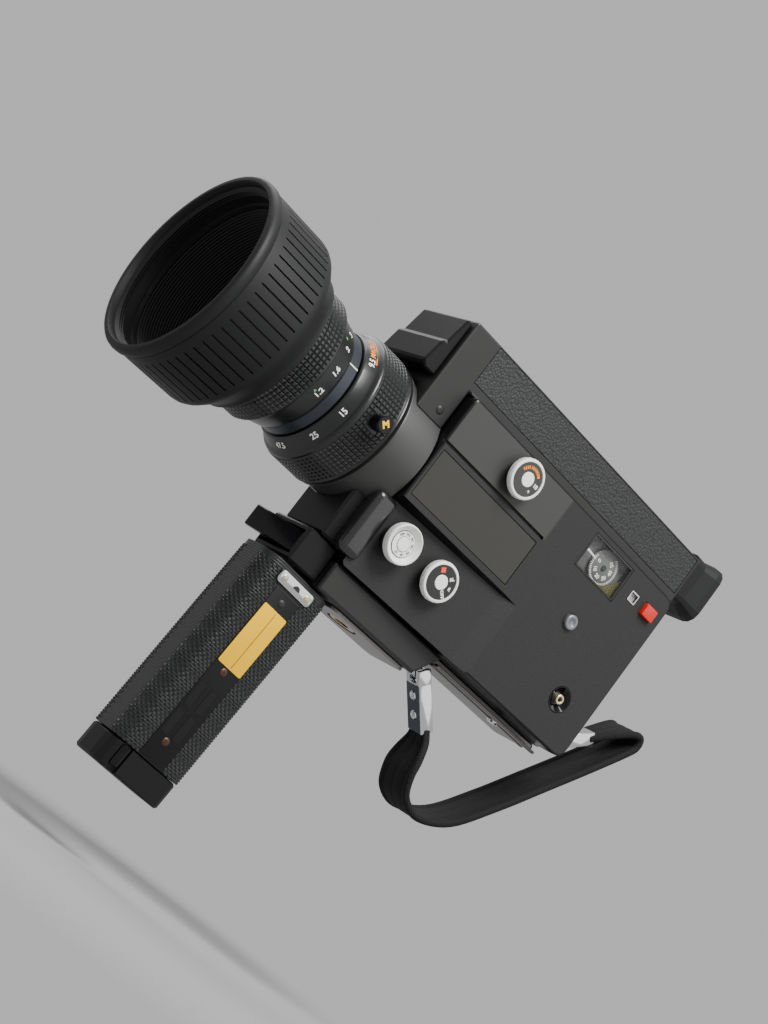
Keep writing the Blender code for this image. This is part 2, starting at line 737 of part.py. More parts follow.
def grip_shell():
    shell = prism("grip_shell", grip_outline(), "Z", GRIP_JOINT, 0.0, "satin_black", GRIP)
    return cut(shell, prism("grip_hollow", grip_outline(2.0), "Z", GRIP_JOINT - 1, -3.0, None, GRIP))


def grip_cap():
    """The battery cover at the grip's end, hinged along its rear edge."""
    cap = prism("battery_cap", grip_outline(), "Z", GRIP_END, GRIP_JOINT - GAP, "satin_black", GRIP)
    bevelled(cap, 0.8)
    return cut(
        cap,
        prism("cap_hollow", grip_outline(2.2), "Z", GRIP_END + 2.2, GRIP_JOINT + 1, None, GRIP),
        block("latch_seat", (-12.6, -8.0), (-14, -11.0), (GRIP_END - 1, GRIP_JOINT + 1), None, GRIP),
    )


def grip_fittings():
    block("grip_label", (-6.0, 6.2), (-13.3, -12.8), (-41.6, -15.2), "label_yellow", GRIP, 0.6, "Y")
    block("cap_latch", (-12.3, -8.3), (-13.0, -11.3), (GRIP_END + 2.1, GRIP_JOINT - 0.7), "gloss_black", GRIP, 1.2, "Y")
    clip = block("grip_clip", (-9.2, 8.7), (-13.9, -12.9), (-6.9, -2.0), "chrome", GRIP, 1.6, "Y")
    bevelled(clip, 0.3)
    block("battery_contacts", (-12.4, 12.4), (-7, 7), (-4.6, -3.4), "brass", GRIP, 1.0)


# ---------------------------------------------------------------- wrist strap


STRAP_MIDDLE = -12.0
STRAP_HALF = 10.0
STRAP_THICK = 3.0
STRAP_ROUTE = [
    (73.5, -75.0), (73.5, -86.0), (78.0, -94.5), (89.0, -97.0), (104.0, -90.5), (118.5, -73.0),
    (132.5, -53.0), (147.0, -33.0), (160.5, -15.5), (162.5, -9.5), (158.5, -10.5), (143.5, -20.5),
]
FRONT_LUG = (54.8, -54.0)
REAR_LUG = (128.0, -36.5)


def smooth(points, parts=4):
    """A Catmull-Rom curve through the points."""
    ends = [points[0], *points, points[-1]]
    curve = []
    for a, b, c, d in zip(ends, ends[1:], ends[2:], ends[3:]):
        a, b, c, d = (Vector(p) for p in (a, b, c, d))
        for k in range(parts):
            t = k / parts
            curve.append(
                0.5 * (2 * b + (c - a) * t + (2 * a - 5 * b + 4 * c - d) * t**2 + (3 * b - a - 3 * c + d) * t**3)
            )
    return curve + [Vector(points[-1])]


def strap():
    """The padded strap, as a plain ribbon along its route."""
    route = smooth(STRAP_ROUTE, 3)
    sides = [], []
    for i, point in enumerate(route):
        ahead = (route[min(i + 1, len(route) - 1)] - route[max(i - 1, 0)]).normalized()
        across = Vector((ahead.y, -ahead.x)) * STRAP_THICK / 2
        sides[0].append(tuple(point + across))
        sides[1].append(tuple(point - across))
    outline = sides[0] + sides[1][::-1]
    return prism("wrist_strap", outline, "Y", STRAP_MIDDLE - STRAP_HALF, STRAP_MIDDLE + STRAP_HALF, "webbing")


def lug(name, centre, wall_x, high):
    """A small chrome ear with a cross pin's worth of round end, fixed to the body."""
    x, z = centre
    outline = [(wall_x, z + high), (wall_x, z - 2.0)]
    for k in range(7):
        angle = math.radians(-90 + 180 * k / 6)
        outline.append((x + 2.0 * math.cos(angle), z + 2.0 * math.sin(angle)))
    return prism(name, outline, "Y", STRAP_MIDDLE - 2.0, STRAP_MIDDLE + 2.0, "chrome")


def bracket(name, centre, heading, long):
    """The folded clamp that swings on a lug and holds an end of the strap."""
    x, z = centre
    along = Vector((math.cos(heading), math.sin(heading)))
    across = Vector((-along.y, along.x))

    def spot(forward, aside):
        return tuple(Vector((x, z)) + along * forward + across * aside)

    outline = [spot(3.0, 2.8), spot(long, 2.8), spot(long, -2.8), spot(3.0, -2.8), spot(-2.6, -2.8), spot(-2.6, 2.8)]
    made = prism(name, outline, "Y", STRAP_MIDDLE - 4.8, STRAP_MIDDLE + 4.8, "chrome")
    slot = [spot(2.6, 4), spot(-4, 4), spot(-4, -4), spot(2.6, -4)]
    return cut(made, prism(name + "_slot", slot, "Y", STRAP_MIDDLE - 2.4, STRAP_MIDDLE + 2.4))


def strap_fittings():
    lug("front_strap_lug", FRONT_LUG, 50.6, 3.0)
    bracket("front_strap_bracket", FRONT_LUG, math.radians(-43), 23.0)
    lug("rear_strap_lug", REAR_LUG, BODY_REAR + GAP, 3.0)
    bracket("rear_strap_bracket", REAR_LUG, math.radians(36), 16.5)
    strap()


clear_scene()
LENS = empty("lens_axis", [-value for value in ORIGIN])
GRIP = empty("grip_axis", GRIP_TOP, GRIP_LEAN, LENS)

side_cover()
film_casting()
finder_housing()
finder_panels()
nameplate_block()
lower_front_housing()
trigger_block()
base_housing()
base_plate()
tripod_bush()
bottom_cover()

film_door()
door_window()
door_hinge()
door_latch()

hood()
focus_ring()
front_cell()
lens_element("front_lens", -72.4, 21.6, 2.2, 1.2)
index_barrel()
zoom_ring()
macro_knob()
lens_barrel()
inner_optics()

drive()
gate_plate()
circuit_board()
finder_optics()
eyecup()

speed_dial()
film_speed_dial()
run_dial()
counter()
buttons()
remote_jack()
nameplate()
trigger()

grip_shell()
grip_cap()
grip_fittings()
strap_fittings()
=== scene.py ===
"""Finishes the cine camera: fine rings, dials, lettering, grip, strap and the materials of every part.

Shapes are drawn in millimetres in the lens frame, X back along the optical axis, Y towards the film
door and Z up, or in the grip's own frame, and each is then settled into its place on the part.
"""

import contextlib
import json
import math

import bmesh
import bpy
from bpy.props import FloatProperty, FloatVectorProperty, IntProperty, PointerProperty
from mathutils import Matrix, Vector


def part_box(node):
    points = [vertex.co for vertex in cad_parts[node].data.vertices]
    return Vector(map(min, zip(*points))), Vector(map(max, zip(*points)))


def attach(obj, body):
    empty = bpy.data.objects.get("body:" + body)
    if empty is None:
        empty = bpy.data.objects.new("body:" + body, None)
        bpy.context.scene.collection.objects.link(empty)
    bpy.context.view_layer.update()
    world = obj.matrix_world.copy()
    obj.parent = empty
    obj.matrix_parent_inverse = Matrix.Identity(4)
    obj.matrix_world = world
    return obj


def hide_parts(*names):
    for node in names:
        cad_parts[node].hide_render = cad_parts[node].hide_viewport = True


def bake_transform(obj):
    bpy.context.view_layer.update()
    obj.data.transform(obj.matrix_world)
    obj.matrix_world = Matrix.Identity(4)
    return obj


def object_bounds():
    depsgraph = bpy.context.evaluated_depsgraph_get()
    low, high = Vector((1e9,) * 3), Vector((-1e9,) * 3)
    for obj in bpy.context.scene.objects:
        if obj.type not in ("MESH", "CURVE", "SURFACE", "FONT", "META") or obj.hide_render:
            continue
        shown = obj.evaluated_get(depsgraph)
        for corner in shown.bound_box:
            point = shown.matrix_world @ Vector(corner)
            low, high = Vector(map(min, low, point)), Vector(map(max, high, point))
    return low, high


bl_info = {
    "name": "Cine camera finish",
    "version": (1, 0, 0),
    "blender": (4, 5, 0),
    "location": "View3D > Sidebar > Cine camera",
    "description": "Adds the fine pieces and the finishes of a Super 8 cine camera",
    "category": "Object",
}

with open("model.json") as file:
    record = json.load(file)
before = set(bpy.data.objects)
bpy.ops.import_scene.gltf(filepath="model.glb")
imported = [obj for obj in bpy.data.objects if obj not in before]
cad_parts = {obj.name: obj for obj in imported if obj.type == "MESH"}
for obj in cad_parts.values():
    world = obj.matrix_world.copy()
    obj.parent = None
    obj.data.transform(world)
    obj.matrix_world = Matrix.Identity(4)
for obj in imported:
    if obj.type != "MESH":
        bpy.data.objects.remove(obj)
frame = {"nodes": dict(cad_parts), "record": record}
CAD_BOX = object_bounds()

# The lens frame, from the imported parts: the hood's rim is 120 mm ahead of the film plane.
HOOD_FRONT = -120.0
BARREL_LOW, BARREL_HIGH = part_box("lens_barrel")
BARREL_MIDDLE = (BARREL_LOW + BARREL_HIGH) / 2
LENS_ORIGIN = Vector((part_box("lens_hood")[0].x - HOOD_FRONT / 1000, BARREL_MIDDLE.y, BARREL_MIDDLE.z))
LENS = Matrix.Translation(LENS_ORIGIN) @ Matrix.Scale(0.001, 4)

FOCUS_SLOPE = -0.266
ZOOM_SLOPE = 0.35
GRIP_LEAN = math.radians(2.7)
GRIP = LENS @ Matrix.Translation((-15.8, -5.0, -57.4)) @ Matrix.Rotation(GRIP_LEAN, 4, "Y")
GRIP_JOINT = -84.0
GRIP_END = -95.3

SPEED_DIAL = (25.8, 23.7)
FILM_DIAL = (2.0, -25.3)
RUN_DIAL = (25.0, -26.0)
COUNTER = (85.8, 23.0)
ROUND_BUTTON = (86.0, -2.2)
JACK = (104.8, -27.0)
MACRO_KNOB = (-37.4, 0.4)
ZOOM_SCALE = (-49.1, 25.64)
FOCUS_SCALE = (-61.2, 25.0)
TINY = 0.001
AXES = {"X": Vector((1, 0, 0)), "Y": Vector((0, 1, 0)), "Z": Vector((0, 0, 1))}
TURNS = {"X": (0, math.pi / 2, 0), "Y": (-math.pi / 2, 0, 0), "Z": (0, 0, 0)}

# The surroundings, and the floor: its drop and radius in metres, and its lit stretch in millimetres.
WORLD_TONE = 0.80
WORLD_GLOW = 0.7
FLOOR_DROP = 0.03
FLOOR_RADIUS = 3.0
FLOOR_SHARE = 0.38
LIT_REACH = 240.0
LIT_FADE = 156.0


# ---------------------------------------------------------------- materials


class Value:
    """A shader socket that takes part in arithmetic: an expression adds its Math nodes."""

    def __init__(self, finish, socket):
        self.finish = finish
        self.socket = socket

    def math(self, operation, *others, clamp=False):
        inputs = dict(enumerate((self, *others)))
        settings = {"operation": operation, "use_clamp": clamp}
        return self.finish.node("ShaderNodeMath", settings, inputs)

    def __add__(self, other):
        return self.math("ADD", other)

    def __sub__(self, other):
        return self.math("SUBTRACT", other)

    def __rsub__(self, other):
        return self.finish.node("ShaderNodeMath", {"operation": "SUBTRACT"}, {0: other, 1: self})

    def __mul__(self, other):
        return self.math("MULTIPLY", other)

    def above(self, edge, soft):
        """0 below the edge and 1 above it, over a soft width."""
        return ((self - edge) * (1 / soft) + 0.5).math("ADD", 0.0, clamp=True)

    def wave(self, pitch):
        """A ripple from -1 to 1 of this pitch."""
        return (self * (2 * math.pi / pitch)).math("SINE")


class Finish:
    """A material and its Principled shader, with one method that adds any node."""

    def __init__(self, name, colour, roughness, metallic=0.0, **settings):
        self.material = bpy.data.materials.new(name)
        self.material.use_nodes = True
        self.tree = self.material.node_tree
        self.shader = self.tree.nodes["Principled BSDF"]
        self.set("Base Color", (*colour, 1.0))
        self.set("Roughness", roughness)
        self.set("Metallic", metallic)
        for socket, value in settings.items():
            self.set(socket.replace("_", " "), value)

    def set(self, socket, value):
        self.connect(self.shader.inputs[socket], value)

    def connect(self, socket, value):
        if isinstance(value, Value):
            self.tree.links.new(value.socket, socket)
        else:
            socket.default_value = value

    def node(self, kind, settings=None, inputs=None, output=0):
        made = self.tree.nodes.new(kind)
        for name, value in (settings or {}).items():
            setattr(made, name, value)
        for name, value in (inputs or {}).items():
            self.connect(made.inputs[name], value)
        return Value(self, made.outputs[output])

    def place(self, output="Object"):
        return self.node("ShaderNodeTexCoord", output=output)

    def xyz(self, output="Object"):
        """The three coordinates, in millimetres for Object coordinates."""
        split = self.node("ShaderNodeSeparateXYZ", {}, {0: self.place(output)}).socket.node
        scale = 1000.0 if output == "Object" else 1.0
        return [Value(self, socket) * scale for socket in split.outputs]

    def noise(self, size, detail=3.0):
        """Noise whose features are this many millimetres across."""
        inputs = {"Vector": self.place(), "Scale": 1000.0 / size, "Detail": detail}
        return self.node("ShaderNodeTexNoise", {}, inputs, "Fac")

    def cells(self, size):
        """The distance from the middle of each cell, for cells this many millimetres across."""
        inputs = {"Vector": self.place(), "Scale": 1000.0 / size}
        return self.node("ShaderNodeTexVoronoi", {"feature": "F1"}, inputs, "Distance")

    def mix(self, factor, first, second):
        """A colour between two colours."""
        settings = {"data_type": "RGBA"}
        inputs = {0: factor, 6: self.colour(first), 7: self.colour(second)}
        return self.node("ShaderNodeMix", settings, inputs, 2)

    def colour(self, value):
        """A colour socket, or the four numbers of a plain colour."""
        return value if isinstance(value, Value) else (*value, 1.0)

    def bump(self, height, distance, strength=1.0):
        """A height from 0 to 1, this many millimetres deep, turned into a normal."""
        inputs = {"Height": height, "Distance": distance / 1000, "Strength": strength}
        self.set("Normal", self.node("ShaderNodeBump", {}, inputs))


def grained(name, colour, roughness, size, depth, metallic=0.0, spread=0.25, **settings):
    """A finish with a fine grain: its colour and gloss vary a little with the grain."""
    made = Finish(name, colour, roughness, metallic, **settings)
    grain = made.noise(size, 4.0)
    drift = made.noise(28.0, 2.0)
    darker = [channel * (1 - spread) for channel in colour]
    lighter = [min(channel * (1 + spread), 1.0) for channel in colour]
    made.set("Base Color", made.mix(grain * 0.6 + drift * 0.4, darker, lighter))
    made.set("Roughness", (grain - 0.5) * 0.12 + (drift - 0.5) * 0.1 + roughness)
    made.bump(grain, depth)
    return made.material


def wrinkle_finish():
    """The side cover: crackle paint with a smooth panel round the speed dial. The panel's lighter colour is
    a painted sheen, and the step walls that do not face left are painted near black as shade.
    """
    made = Finish("wrinkle_paint", (0.014, 0.015, 0.014), 0.52, Specular_IOR_Level=0.38)
    x, _, z = made.xyz()
    # Faces that do not look left, the walls of the steps, are painted near black as shade, and made
    # glossier.
    shaded_wall = made.xyz("Normal")[1].above(-0.95, 0.04)
    panel = z.above(71.9, 0.4) * (1 - x.above(18.4, 1.2))
    rough = (1 - panel) * (1 - shaded_wall)
    fine, coarse = made.noise(0.3, 5.0), made.noise(0.8, 3.0)
    crackle = made.mix(fine, (0.008, 0.0088, 0.0082), (0.021, 0.0222, 0.0205))
    # The smooth panel is real; its lighter colour is a painted sheen.
    paint = made.mix(panel, crackle, (0.038, 0.039, 0.0365))
    made.set("Base Color", made.mix(shaded_wall, paint, (0.003, 0.003, 0.0033)))
    made.set("Roughness", rough * 0.08 + (coarse - 0.5) * 0.12 - shaded_wall * 0.15 + 0.46)
    made.bump((fine * 0.5 + coarse * 0.5) * rough, 0.12)
    return made.material


def leather_finish():
    """Leatherette: rounded pebbles with creases between them, with painted highlights on the pebbles and
    painted shade in the creases.
    """
    made = Finish("leatherette", (0.015, 0.015, 0.016), 0.5)
    crease = made.cells(1.05)
    broad = made.noise(5.0, 2.0)
    # Lighter in each pebble's middle and darker in the creases: painted highlight and painted shade.
    made.set("Base Color", made.mix(crease, (0.022, 0.0235, 0.0228), (0.005, 0.0055, 0.0055)))
    made.set("Roughness", crease * 0.2 + 0.40)
    made.bump((1 - crease) + broad * 0.3, 0.22)
    return made.material


def circuit_finish():
    """A circuit board: green lacquer over copper tracks."""
    made = Finish("circuit_board", (0.03, 0.16, 0.06), 0.4)
    x, y, z = made.xyz()
    track = x.wave(3.0).above(0.6, 0.3) * z.wave(14.0).above(-0.3, 0.2)
    made.set("Base Color", made.mix(track, (0.02, 0.12, 0.045), (0.25, 0.22, 0.07)))
    made.bump(track, 0.04)
    return made.material


def glass_finish():
    """Clear glass, with the faint blue-green bloom of a lens coating."""
    made = Finish("coated_glass", (0.10, 0.13, 0.16), 0.04, 0.0, Alpha=0.35)
    made.set("Roughness", made.noise(6.0, 2.0) * 0.04 + 0.02)
    return made.material


def pane_finish():
    made = Finish("clear_pane", (0.10, 0.10, 0.10), 0.03, 0.0, Alpha=0.10, Specular_IOR_Level=0.3)
    made.set("Roughness", made.noise(4.0, 2.0) * 0.05 + 0.02)
    return made.material


def web_finish():
    """Woven strap: threads over and under one another, along and across the strap."""
    made = Finish("woven_web", (0.006, 0.006, 0.0065), 0.8, Specular_IOR_Level=0.2)
    x, y, z = made.xyz()
    weave = ((x + z).wave(1.3) * y.wave(1.1)) * 0.5 + 0.5
    fuzz = made.noise(0.35, 3.0)
    thread = weave * 0.6 + fuzz * 0.4
    made.set("Base Color", made.mix(thread, (0.003, 0.003, 0.0033), (0.016, 0.016, 0.0162)))
    made.bump(weave * 0.7 + fuzz * 0.3, 0.16)
    return made.material


def grip_finish():
    """The grip: hard black plastic, finely ribbed across its flat front face."""
    made = Finish("grip_plastic", (0.010, 0.0105, 0.011), 0.36)
    grain, drift = made.noise(0.5), made.noise(20.0, 2.0)
    blotch = grain * 0.5 + drift * 0.5
    made.set("Base Color", made.mix(blotch, (0.007, 0.0075, 0.008), (0.013, 0.0135, 0.014)))
    made.set("Roughness", (drift - 0.5) * 0.15 + (grain - 0.5) * 0.1 + 0.36)
    x, _, z = made.xyz()
    made.bump((z + x * math.tan(GRIP_LEAN)).wave(1.0) * 0.5 + 0.5, 0.12, 0.6)
    return made.material


def silver_finish():
    """The counter's silvery face, darker towards the top."""
    made = Finish("silver_grey", (0.2, 0.2, 0.2), 0.5, 0.0)
    _, _, z = made.xyz()
    fade = ((z - 74.0) * (1 / 14.0)).math("ADD", 0.0, clamp=True)
    made.set("Base Color", made.mix(fade, (0.035, 0.038, 0.034), (0.22, 0.23, 0.22)))
    made.set("Roughness", made.noise(3.0) * 0.1 + 0.45)
    return made.material


def floor_finish(tone):
    """A pale floor that glows with the surroundings' own tone further out, so it has no edge."""
    near = tone * FLOOR_SHARE
    made = Finish("pale_floor", (near, near, near), 0.9, Specular_IOR_Level=0.0)
    x, y, _ = made.xyz()
    away = (x * x + y * y).math("SQRT")
    far = away.above(LIT_REACH, LIT_FADE)
    glow = made.node("ShaderNodeEmission", {}, {"Color": (tone, tone, tone, 1), "Strength": WORLD_GLOW})
    shader = Value(made, made.shader.outputs[0])
    mixed = made.node("ShaderNodeMixShader", {}, {0: far, 1: shader, 2: glow})
    made.tree.links.new(mixed.socket, made.tree.nodes["Material Output"].inputs["Surface"])
    return made.material


def dull(level):
    """The setting that takes reflections down from their usual level, 0.5."""
    return {"Specular_IOR_Level": level}


def coated(weight):
    return {"Coat_Weight": weight}


# Each plain finish: name, colour, roughness, grain and its depth in mm, metallic, spread, other settings.
PLAIN_FINISHES = {
    "rubber": ("soft_rubber", (0.008, 0.0083, 0.0085), 0.55, 0.35, 0.012, 0.0, 0.18, dull(0.28)),
    "satin_black": ("satin_paint", (0.016, 0.0165, 0.0155), 0.46, 0.22, 0.008, 0.0, 0.12, dull(0.4)),
    "textured_plain": ("panel_paint", (0.030, 0.031, 0.029), 0.45, 0.3, 0.006, 0.0, 0.1, {}),
    # A darker copy of satin black, given to pieces that sit in shade: painted shade.
    "deep_black": ("deep_black", (0.006, 0.0062, 0.006), 0.44, 0.22, 0.008, 0.0, 0.12, dull(0.22)),
    "barrel_paint": ("barrel_paint", (0.034, 0.0345, 0.033), 0.42, 0.22, 0.006, 0.0, 0.1, {}),
    "lens_black": ("black_anodised", (0.0085, 0.009, 0.0092), 0.34, 0.5, 0.003, 0.0, 0.1, coated(0.1)),
    "index_black": ("blue_black_satin", (0.018, 0.023, 0.031), 0.36, 0.6, 0.003, 0.2, 0.1, {}),
    "gloss_black": ("gloss_black", (0.004, 0.004, 0.005), 0.12, 1.5, 0.003, 0.0, 0.1, dull(0.3)),
    "chrome": ("chrome", (0.72, 0.72, 0.74), 0.12, 2.0, 0.004, 1.0, 0.06, {}),
    # Chrome coloured dark: a painted reflection of dark surroundings.
    "dark_chrome": ("dark_chrome", (0.10, 0.11, 0.13), 0.12, 2.0, 0.004, 1.0, 0.25, {}),
    "steel": ("brushed_steel", (0.15, 0.145, 0.14), 0.34, 0.6, 0.006, 0.8, 0.15, {}),
    "brass": ("brass", (0.50, 0.38, 0.20), 0.34, 0.8, 0.006, 1.0, 0.2, {}),
    "ivory_brass": ("ivory_brass", (0.62, 0.55, 0.38), 0.3, 0.6, 0.004, 0.8, 0.25, {}),
    "cast_alloy": ("cast_alloy", (0.16, 0.16, 0.17), 0.55, 0.7, 0.03, 0.6, 0.25, {}),
    "dial_white": ("dial_white", (0.90, 0.90, 0.87), 0.34, 1.2, 0.004, 0.0, 0.04, {}),
    "nameplate": ("nameplate", (0.026, 0.025, 0.021), 0.34, 0.5, 0.004, 0.2, 0.1, {}),
    "white_gear": ("white_gear", (0.72, 0.71, 0.66), 0.45, 1.0, 0.01, 0.0, 0.06, {}),
    "label_yellow": ("label_yellow", (0.88, 0.50, 0.0), 0.5, 0.8, 0.005, 0.0, 0.06, dull(0.15)),
    "button_red": ("button_red", (0.62, 0.018, 0.010), 0.34, 0.7, 0.006, 0.0, 0.1, {}),
    "button_grey": ("button_grey", (0.20, 0.21, 0.22), 0.34, 0.6, 0.006, 0.6, 0.15, {}),
    "olive_film": ("olive_film", (0.10, 0.095, 0.012), 0.3, 2.0, 0.002, 0.0, 0.25, {"Alpha": 0.75}),
    "lamp_pink": ("lamp_pink", (0.42, 0.36, 0.36), 0.3, 1.0, 0.002, 0.0, 0.25, {}),
    "bead_black": ("bead_black", (0.012, 0.0125, 0.012), 0.22, 0.6, 0.003, 0.0, 0.25, coated(0.3)),
    "screw_brown": ("screw_brown", (0.085, 0.035, 0.02), 0.42, 0.5, 0.02, 0.5, 0.25, {}),
}
INKS = {
    "ink_white": (0.95, 0.95, 0.90),
    "ink_orange": (0.95, 0.26, 0.0),
    "ink_red": (0.90, 0.075, 0.02),
    "ink_green": (0.08, 0.42, 0.10),
    "ink_yellow": (0.95, 0.60, 0.0),
    # Black ink for print, also used as painted shade: dial necks, screw and clip slots and the film dial's
    # groove.
    "ink_black": (0.012, 0.012, 0.012),
}
WORKED_FINISHES = {
    "textured_black": wrinkle_finish,
    "leatherette": leather_finish,
    "circuit_green": circuit_finish,
    "glass": glass_finish,
    "pane": pane_finish,
    "grip_black": grip_finish,
    "silver_grey": silver_finish,
    "webbing": web_finish,
}
_made = {}


def finish(slot):
    if slot not in _made:
        if slot in WORKED_FINISHES:
            _made[slot] = WORKED_FINISHES[slot]()
        elif slot in INKS:
            _made[slot] = grained(slot, INKS[slot], 0.45, 0.5, 0.002, spread=0.06)
        else:
            *plain, settings = PLAIN_FINISHES[slot]
            _made[slot] = grained(*plain, **settings)
    return _made[slot]


# ---------------------------------------------------------------- modelling by hand, in code


def deselect():
    if bpy.context.mode != "OBJECT":
        bpy.ops.object.mode_set(mode="OBJECT")
    bpy.ops.object.select_all(action="DESELECT")


def take(name):
    """Names the piece that an operator has just added, and applies its place to its mesh."""
    piece = bpy.context.object
    piece.name = name
    piece.data.name = name
    bpy.ops.object.transform_apply(location=True, rotation=True, scale=True)
    return piece


@contextlib.contextmanager
def editing(piece, mode="FACE"):
    deselect()
    piece.select_set(True)
    bpy.context.view_layer.objects.active = piece
    bpy.ops.object.mode_set(mode="EDIT")
    bpy.ops.mesh.select_mode(type=mode)
    yield
    bpy.ops.object.mode_set(mode="OBJECT")


def pick(piece, test, kind="faces"):
    """In edit mode, selects just the faces, edges or vertices that pass the test."""
    shape = bmesh.from_edit_mesh(piece.data)
    for group in (shape.faces, shape.edges, shape.verts):
        for item in group:
            item.select_set(False)
    chosen = [item for item in getattr(shape, kind) if test(item)]
    for item in chosen:
        item.select_set(True)
    shape.select_flush_mode()
    bmesh.update_edit_mesh(piece.data)
    return len(chosen)


def at(axis, along, a, b):
    """The point at (a, b) of the plane across an axis, and so far along it."""
    return Vector({"X": (along, a, b), "Y": (a, along, b), "Z": (a, b, along)}[axis])


def lathe(name, axis, centre, profile, steps=96, closed=False):
    """A ring extruded from one (along, radius) point of a profile to the next."""
    deselect()
    stations = list(profile) + ([profile[0]] if closed else [])
    along, radius = stations[0]
    bpy.ops.mesh.primitive_circle_add(
        vertices=steps,
        radius=max(radius, TINY),
        location=at(axis, along, *centre),
        rotation=TURNS[axis],
    )
    piece = take(name)
    direction = AXES[axis]
    with editing(piece, "VERT"):
        bpy.ops.mesh.select_all(action="SELECT")
        for (a, r), (b, q) in zip(stations, stations[1:]):
            bpy.ops.mesh.extrude_region_move(TRANSFORM_OT_translate={"value": direction * (b - a)})
            grow = max(q, TINY) / max(r, TINY)
            factors = [1.0 if unit else grow for unit in direction]
            bpy.ops.transform.resize(value=factors, center_override=at(axis, b, *centre))
        bpy.ops.mesh.select_all(action="SELECT")
        bpy.ops.mesh.remove_doubles(threshold=3 * TINY)
        bpy.ops.mesh.normals_make_consistent(inside=False)
    return piece


def plate(name, x, y, z, corner=0.0, edge=0.0, axis="Y", steps=5):
    """A slab between (low, high) pairs: round corners about one axis, then softened edges."""
    deselect()
    middle = [sum(pair) / 2 for pair in (x, y, z)]
    size = [pair[1] - pair[0] for pair in (x, y, z)]
    bpy.ops.mesh.primitive_cube_add(size=1, location=middle, scale=size)
    piece = take(name)
    direction = AXES[axis]
    with editing(piece, "EDGE"):
        if corner:
            pick(piece, lambda edge: runs_along(edge, direction), "edges")
            bpy.ops.mesh.bevel(offset=corner, segments=steps)
        if edge:
            pick(piece, sharp_edge, "edges")
            bpy.ops.mesh.bevel(offset=edge, segments=2)
    return piece


def runs_along(edge, direction):
    return abs((edge.verts[0].co - edge.verts[1].co).normalized().dot(direction)) > 0.9


def sharp_edge(edge):
    return len(edge.link_faces) == 2 and edge.calc_face_angle(0) > math.radians(40)


def outline_face(name, points):
    """A filled circle whose ring is laid on these points."""
    deselect()
    bpy.ops.mesh.primitive_circle_add(vertices=len(points), radius=1, fill_type="NGON")
    piece = take(name)
    for vertex, point in zip(piece.data.vertices, points):
        vertex.co = point
    return piece


def prism(name, outline, axis, low, high, edge=0.0, layers=1):
    """An outline of (a, b) points, made a face and extruded along an axis, in one or more layers."""
    piece = outline_face(name, [at(axis, low, a, b) for a, b in outline])
    with editing(piece):
        bpy.ops.mesh.select_all(action="SELECT")
        for _ in range(layers):
            move = {"value": AXES[axis] * ((high - low) / layers)}
            bpy.ops.mesh.extrude_region_move(TRANSFORM_OT_translate=move)
        bpy.ops.mesh.select_all(action="SELECT")
        bpy.ops.mesh.normals_make_consistent(inside=False)
        if edge:
            bpy.ops.mesh.select_mode(type="EDGE")
            pick(piece, sharp_edge, "edges")
            bpy.ops.mesh.bevel(offset=edge, segments=2)
    return piece


def smooth(piece, angle=35):
    deselect()
    piece.select_set(True)
    bpy.context.view_layer.objects.active = piece
    bpy.ops.object.shade_smooth_by_angle(angle=math.radians(angle))
    return piece


def settle(piece, slot, body="camera", placed=LENS, angle=35):
    """Gives a finished piece its material, puts it in its place and lets it ride on its body."""
    piece.data.transform(placed)
    piece.data.materials.clear()
    piece.data.materials.append(finish(slot))
    smooth(piece, angle)
    if body:
        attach(piece, body)
    return piece


def knurl(piece, test, valley, height):
    """Raises each chosen face as a pad with sloping sides, which leaves a valley between pads."""
    with editing(piece):
        pick(piece, test)
        bpy.ops.mesh.inset(use_individual=True, thickness=valley, depth=height)


def stations(low, high, count):
    return [low + (high - low) * i / count for i in range(count + 1)]


# ---------------------------------------------------------------- lettering


def on_ring(x, angle, radius, slope=0.0):
    """Letters round the lens: they read upwards round it, with their tops towards the front."""

    def place(u, v, w):
        turn = math.radians(angle) + u / radius
        out = radius + w - v * slope
        return Vector((x - v, -math.cos(turn) * out, math.sin(turn) * out))

    return place


def on_side(x, z, face, turn=0.0):
    """Letters on a face that looks left, turned anticlockwise about their middle."""
    c, s = math.cos(math.radians(turn)), math.sin(math.radians(turn))

    def place(u, v, w):
        return Vector((x + u * c - v * s, face - w, z + u * s + v * c))

    return place


def lettering(name, text, size, place, slot, body="camera", placed=LENS, heavy=0.02, thick=0.03):
    """Printed characters: a text made a mesh, each point then put in place."""
    deselect()
    bpy.ops.object.text_add()
    words = bpy.context.object.data
    words.body = text
    words.size = size
    words.align_x = "CENTER"
    words.align_y = "CENTER"
    words.extrude = thick
    words.offset = heavy * size
    bpy.ops.object.convert(target="MESH")
    piece = take(name)
    for vertex in piece.data.vertices:
        vertex.co = place(*vertex.co)
    return settle(piece, slot, body, placed, angle=20)


def mark(name, outline, place, slot, body="camera", placed=LENS, thick=0.03):
    """A flat mark, for print and for the painted shade of slots: an outline of (u, v) points, thickened and
    put in place.
    """
    piece = prism(name, outline, "Z", -thick, thick)
    for vertex in piece.data.vertices:
        vertex.co = place(*vertex.co)
    return settle(piece, slot, body, placed, angle=20)


def bar(length, width):
    """The outline of a rectangle about its middle."""
    u, v = length / 2, width / 2
    return [(-u, -v), (u, -v), (u, v), (-u, v)]


# ---------------------------------------------------------------- settings


class FinishSizes(bpy.types.PropertyGroup):
    groove_count: IntProperty(name="Hood grooves", description="Grooves round the hood", default=60)
    groove_depth: FloatProperty(name="Groove depth", description="Depth of a hood groove, mm", default=0.7)
    knurl_count: IntProperty(name="Knurl pads", description="Pads round each knurled ring", default=90)
    knurl_height: FloatProperty(name="Knurl height", description="Height of a pad, mm", default=0.45)
    dial_teeth: IntProperty(name="Dial teeth", description="Teeth round each dial", default=72)
    stud_height: FloatProperty(name="Grip stud height", description="Height of a stud, mm", default=0.4)


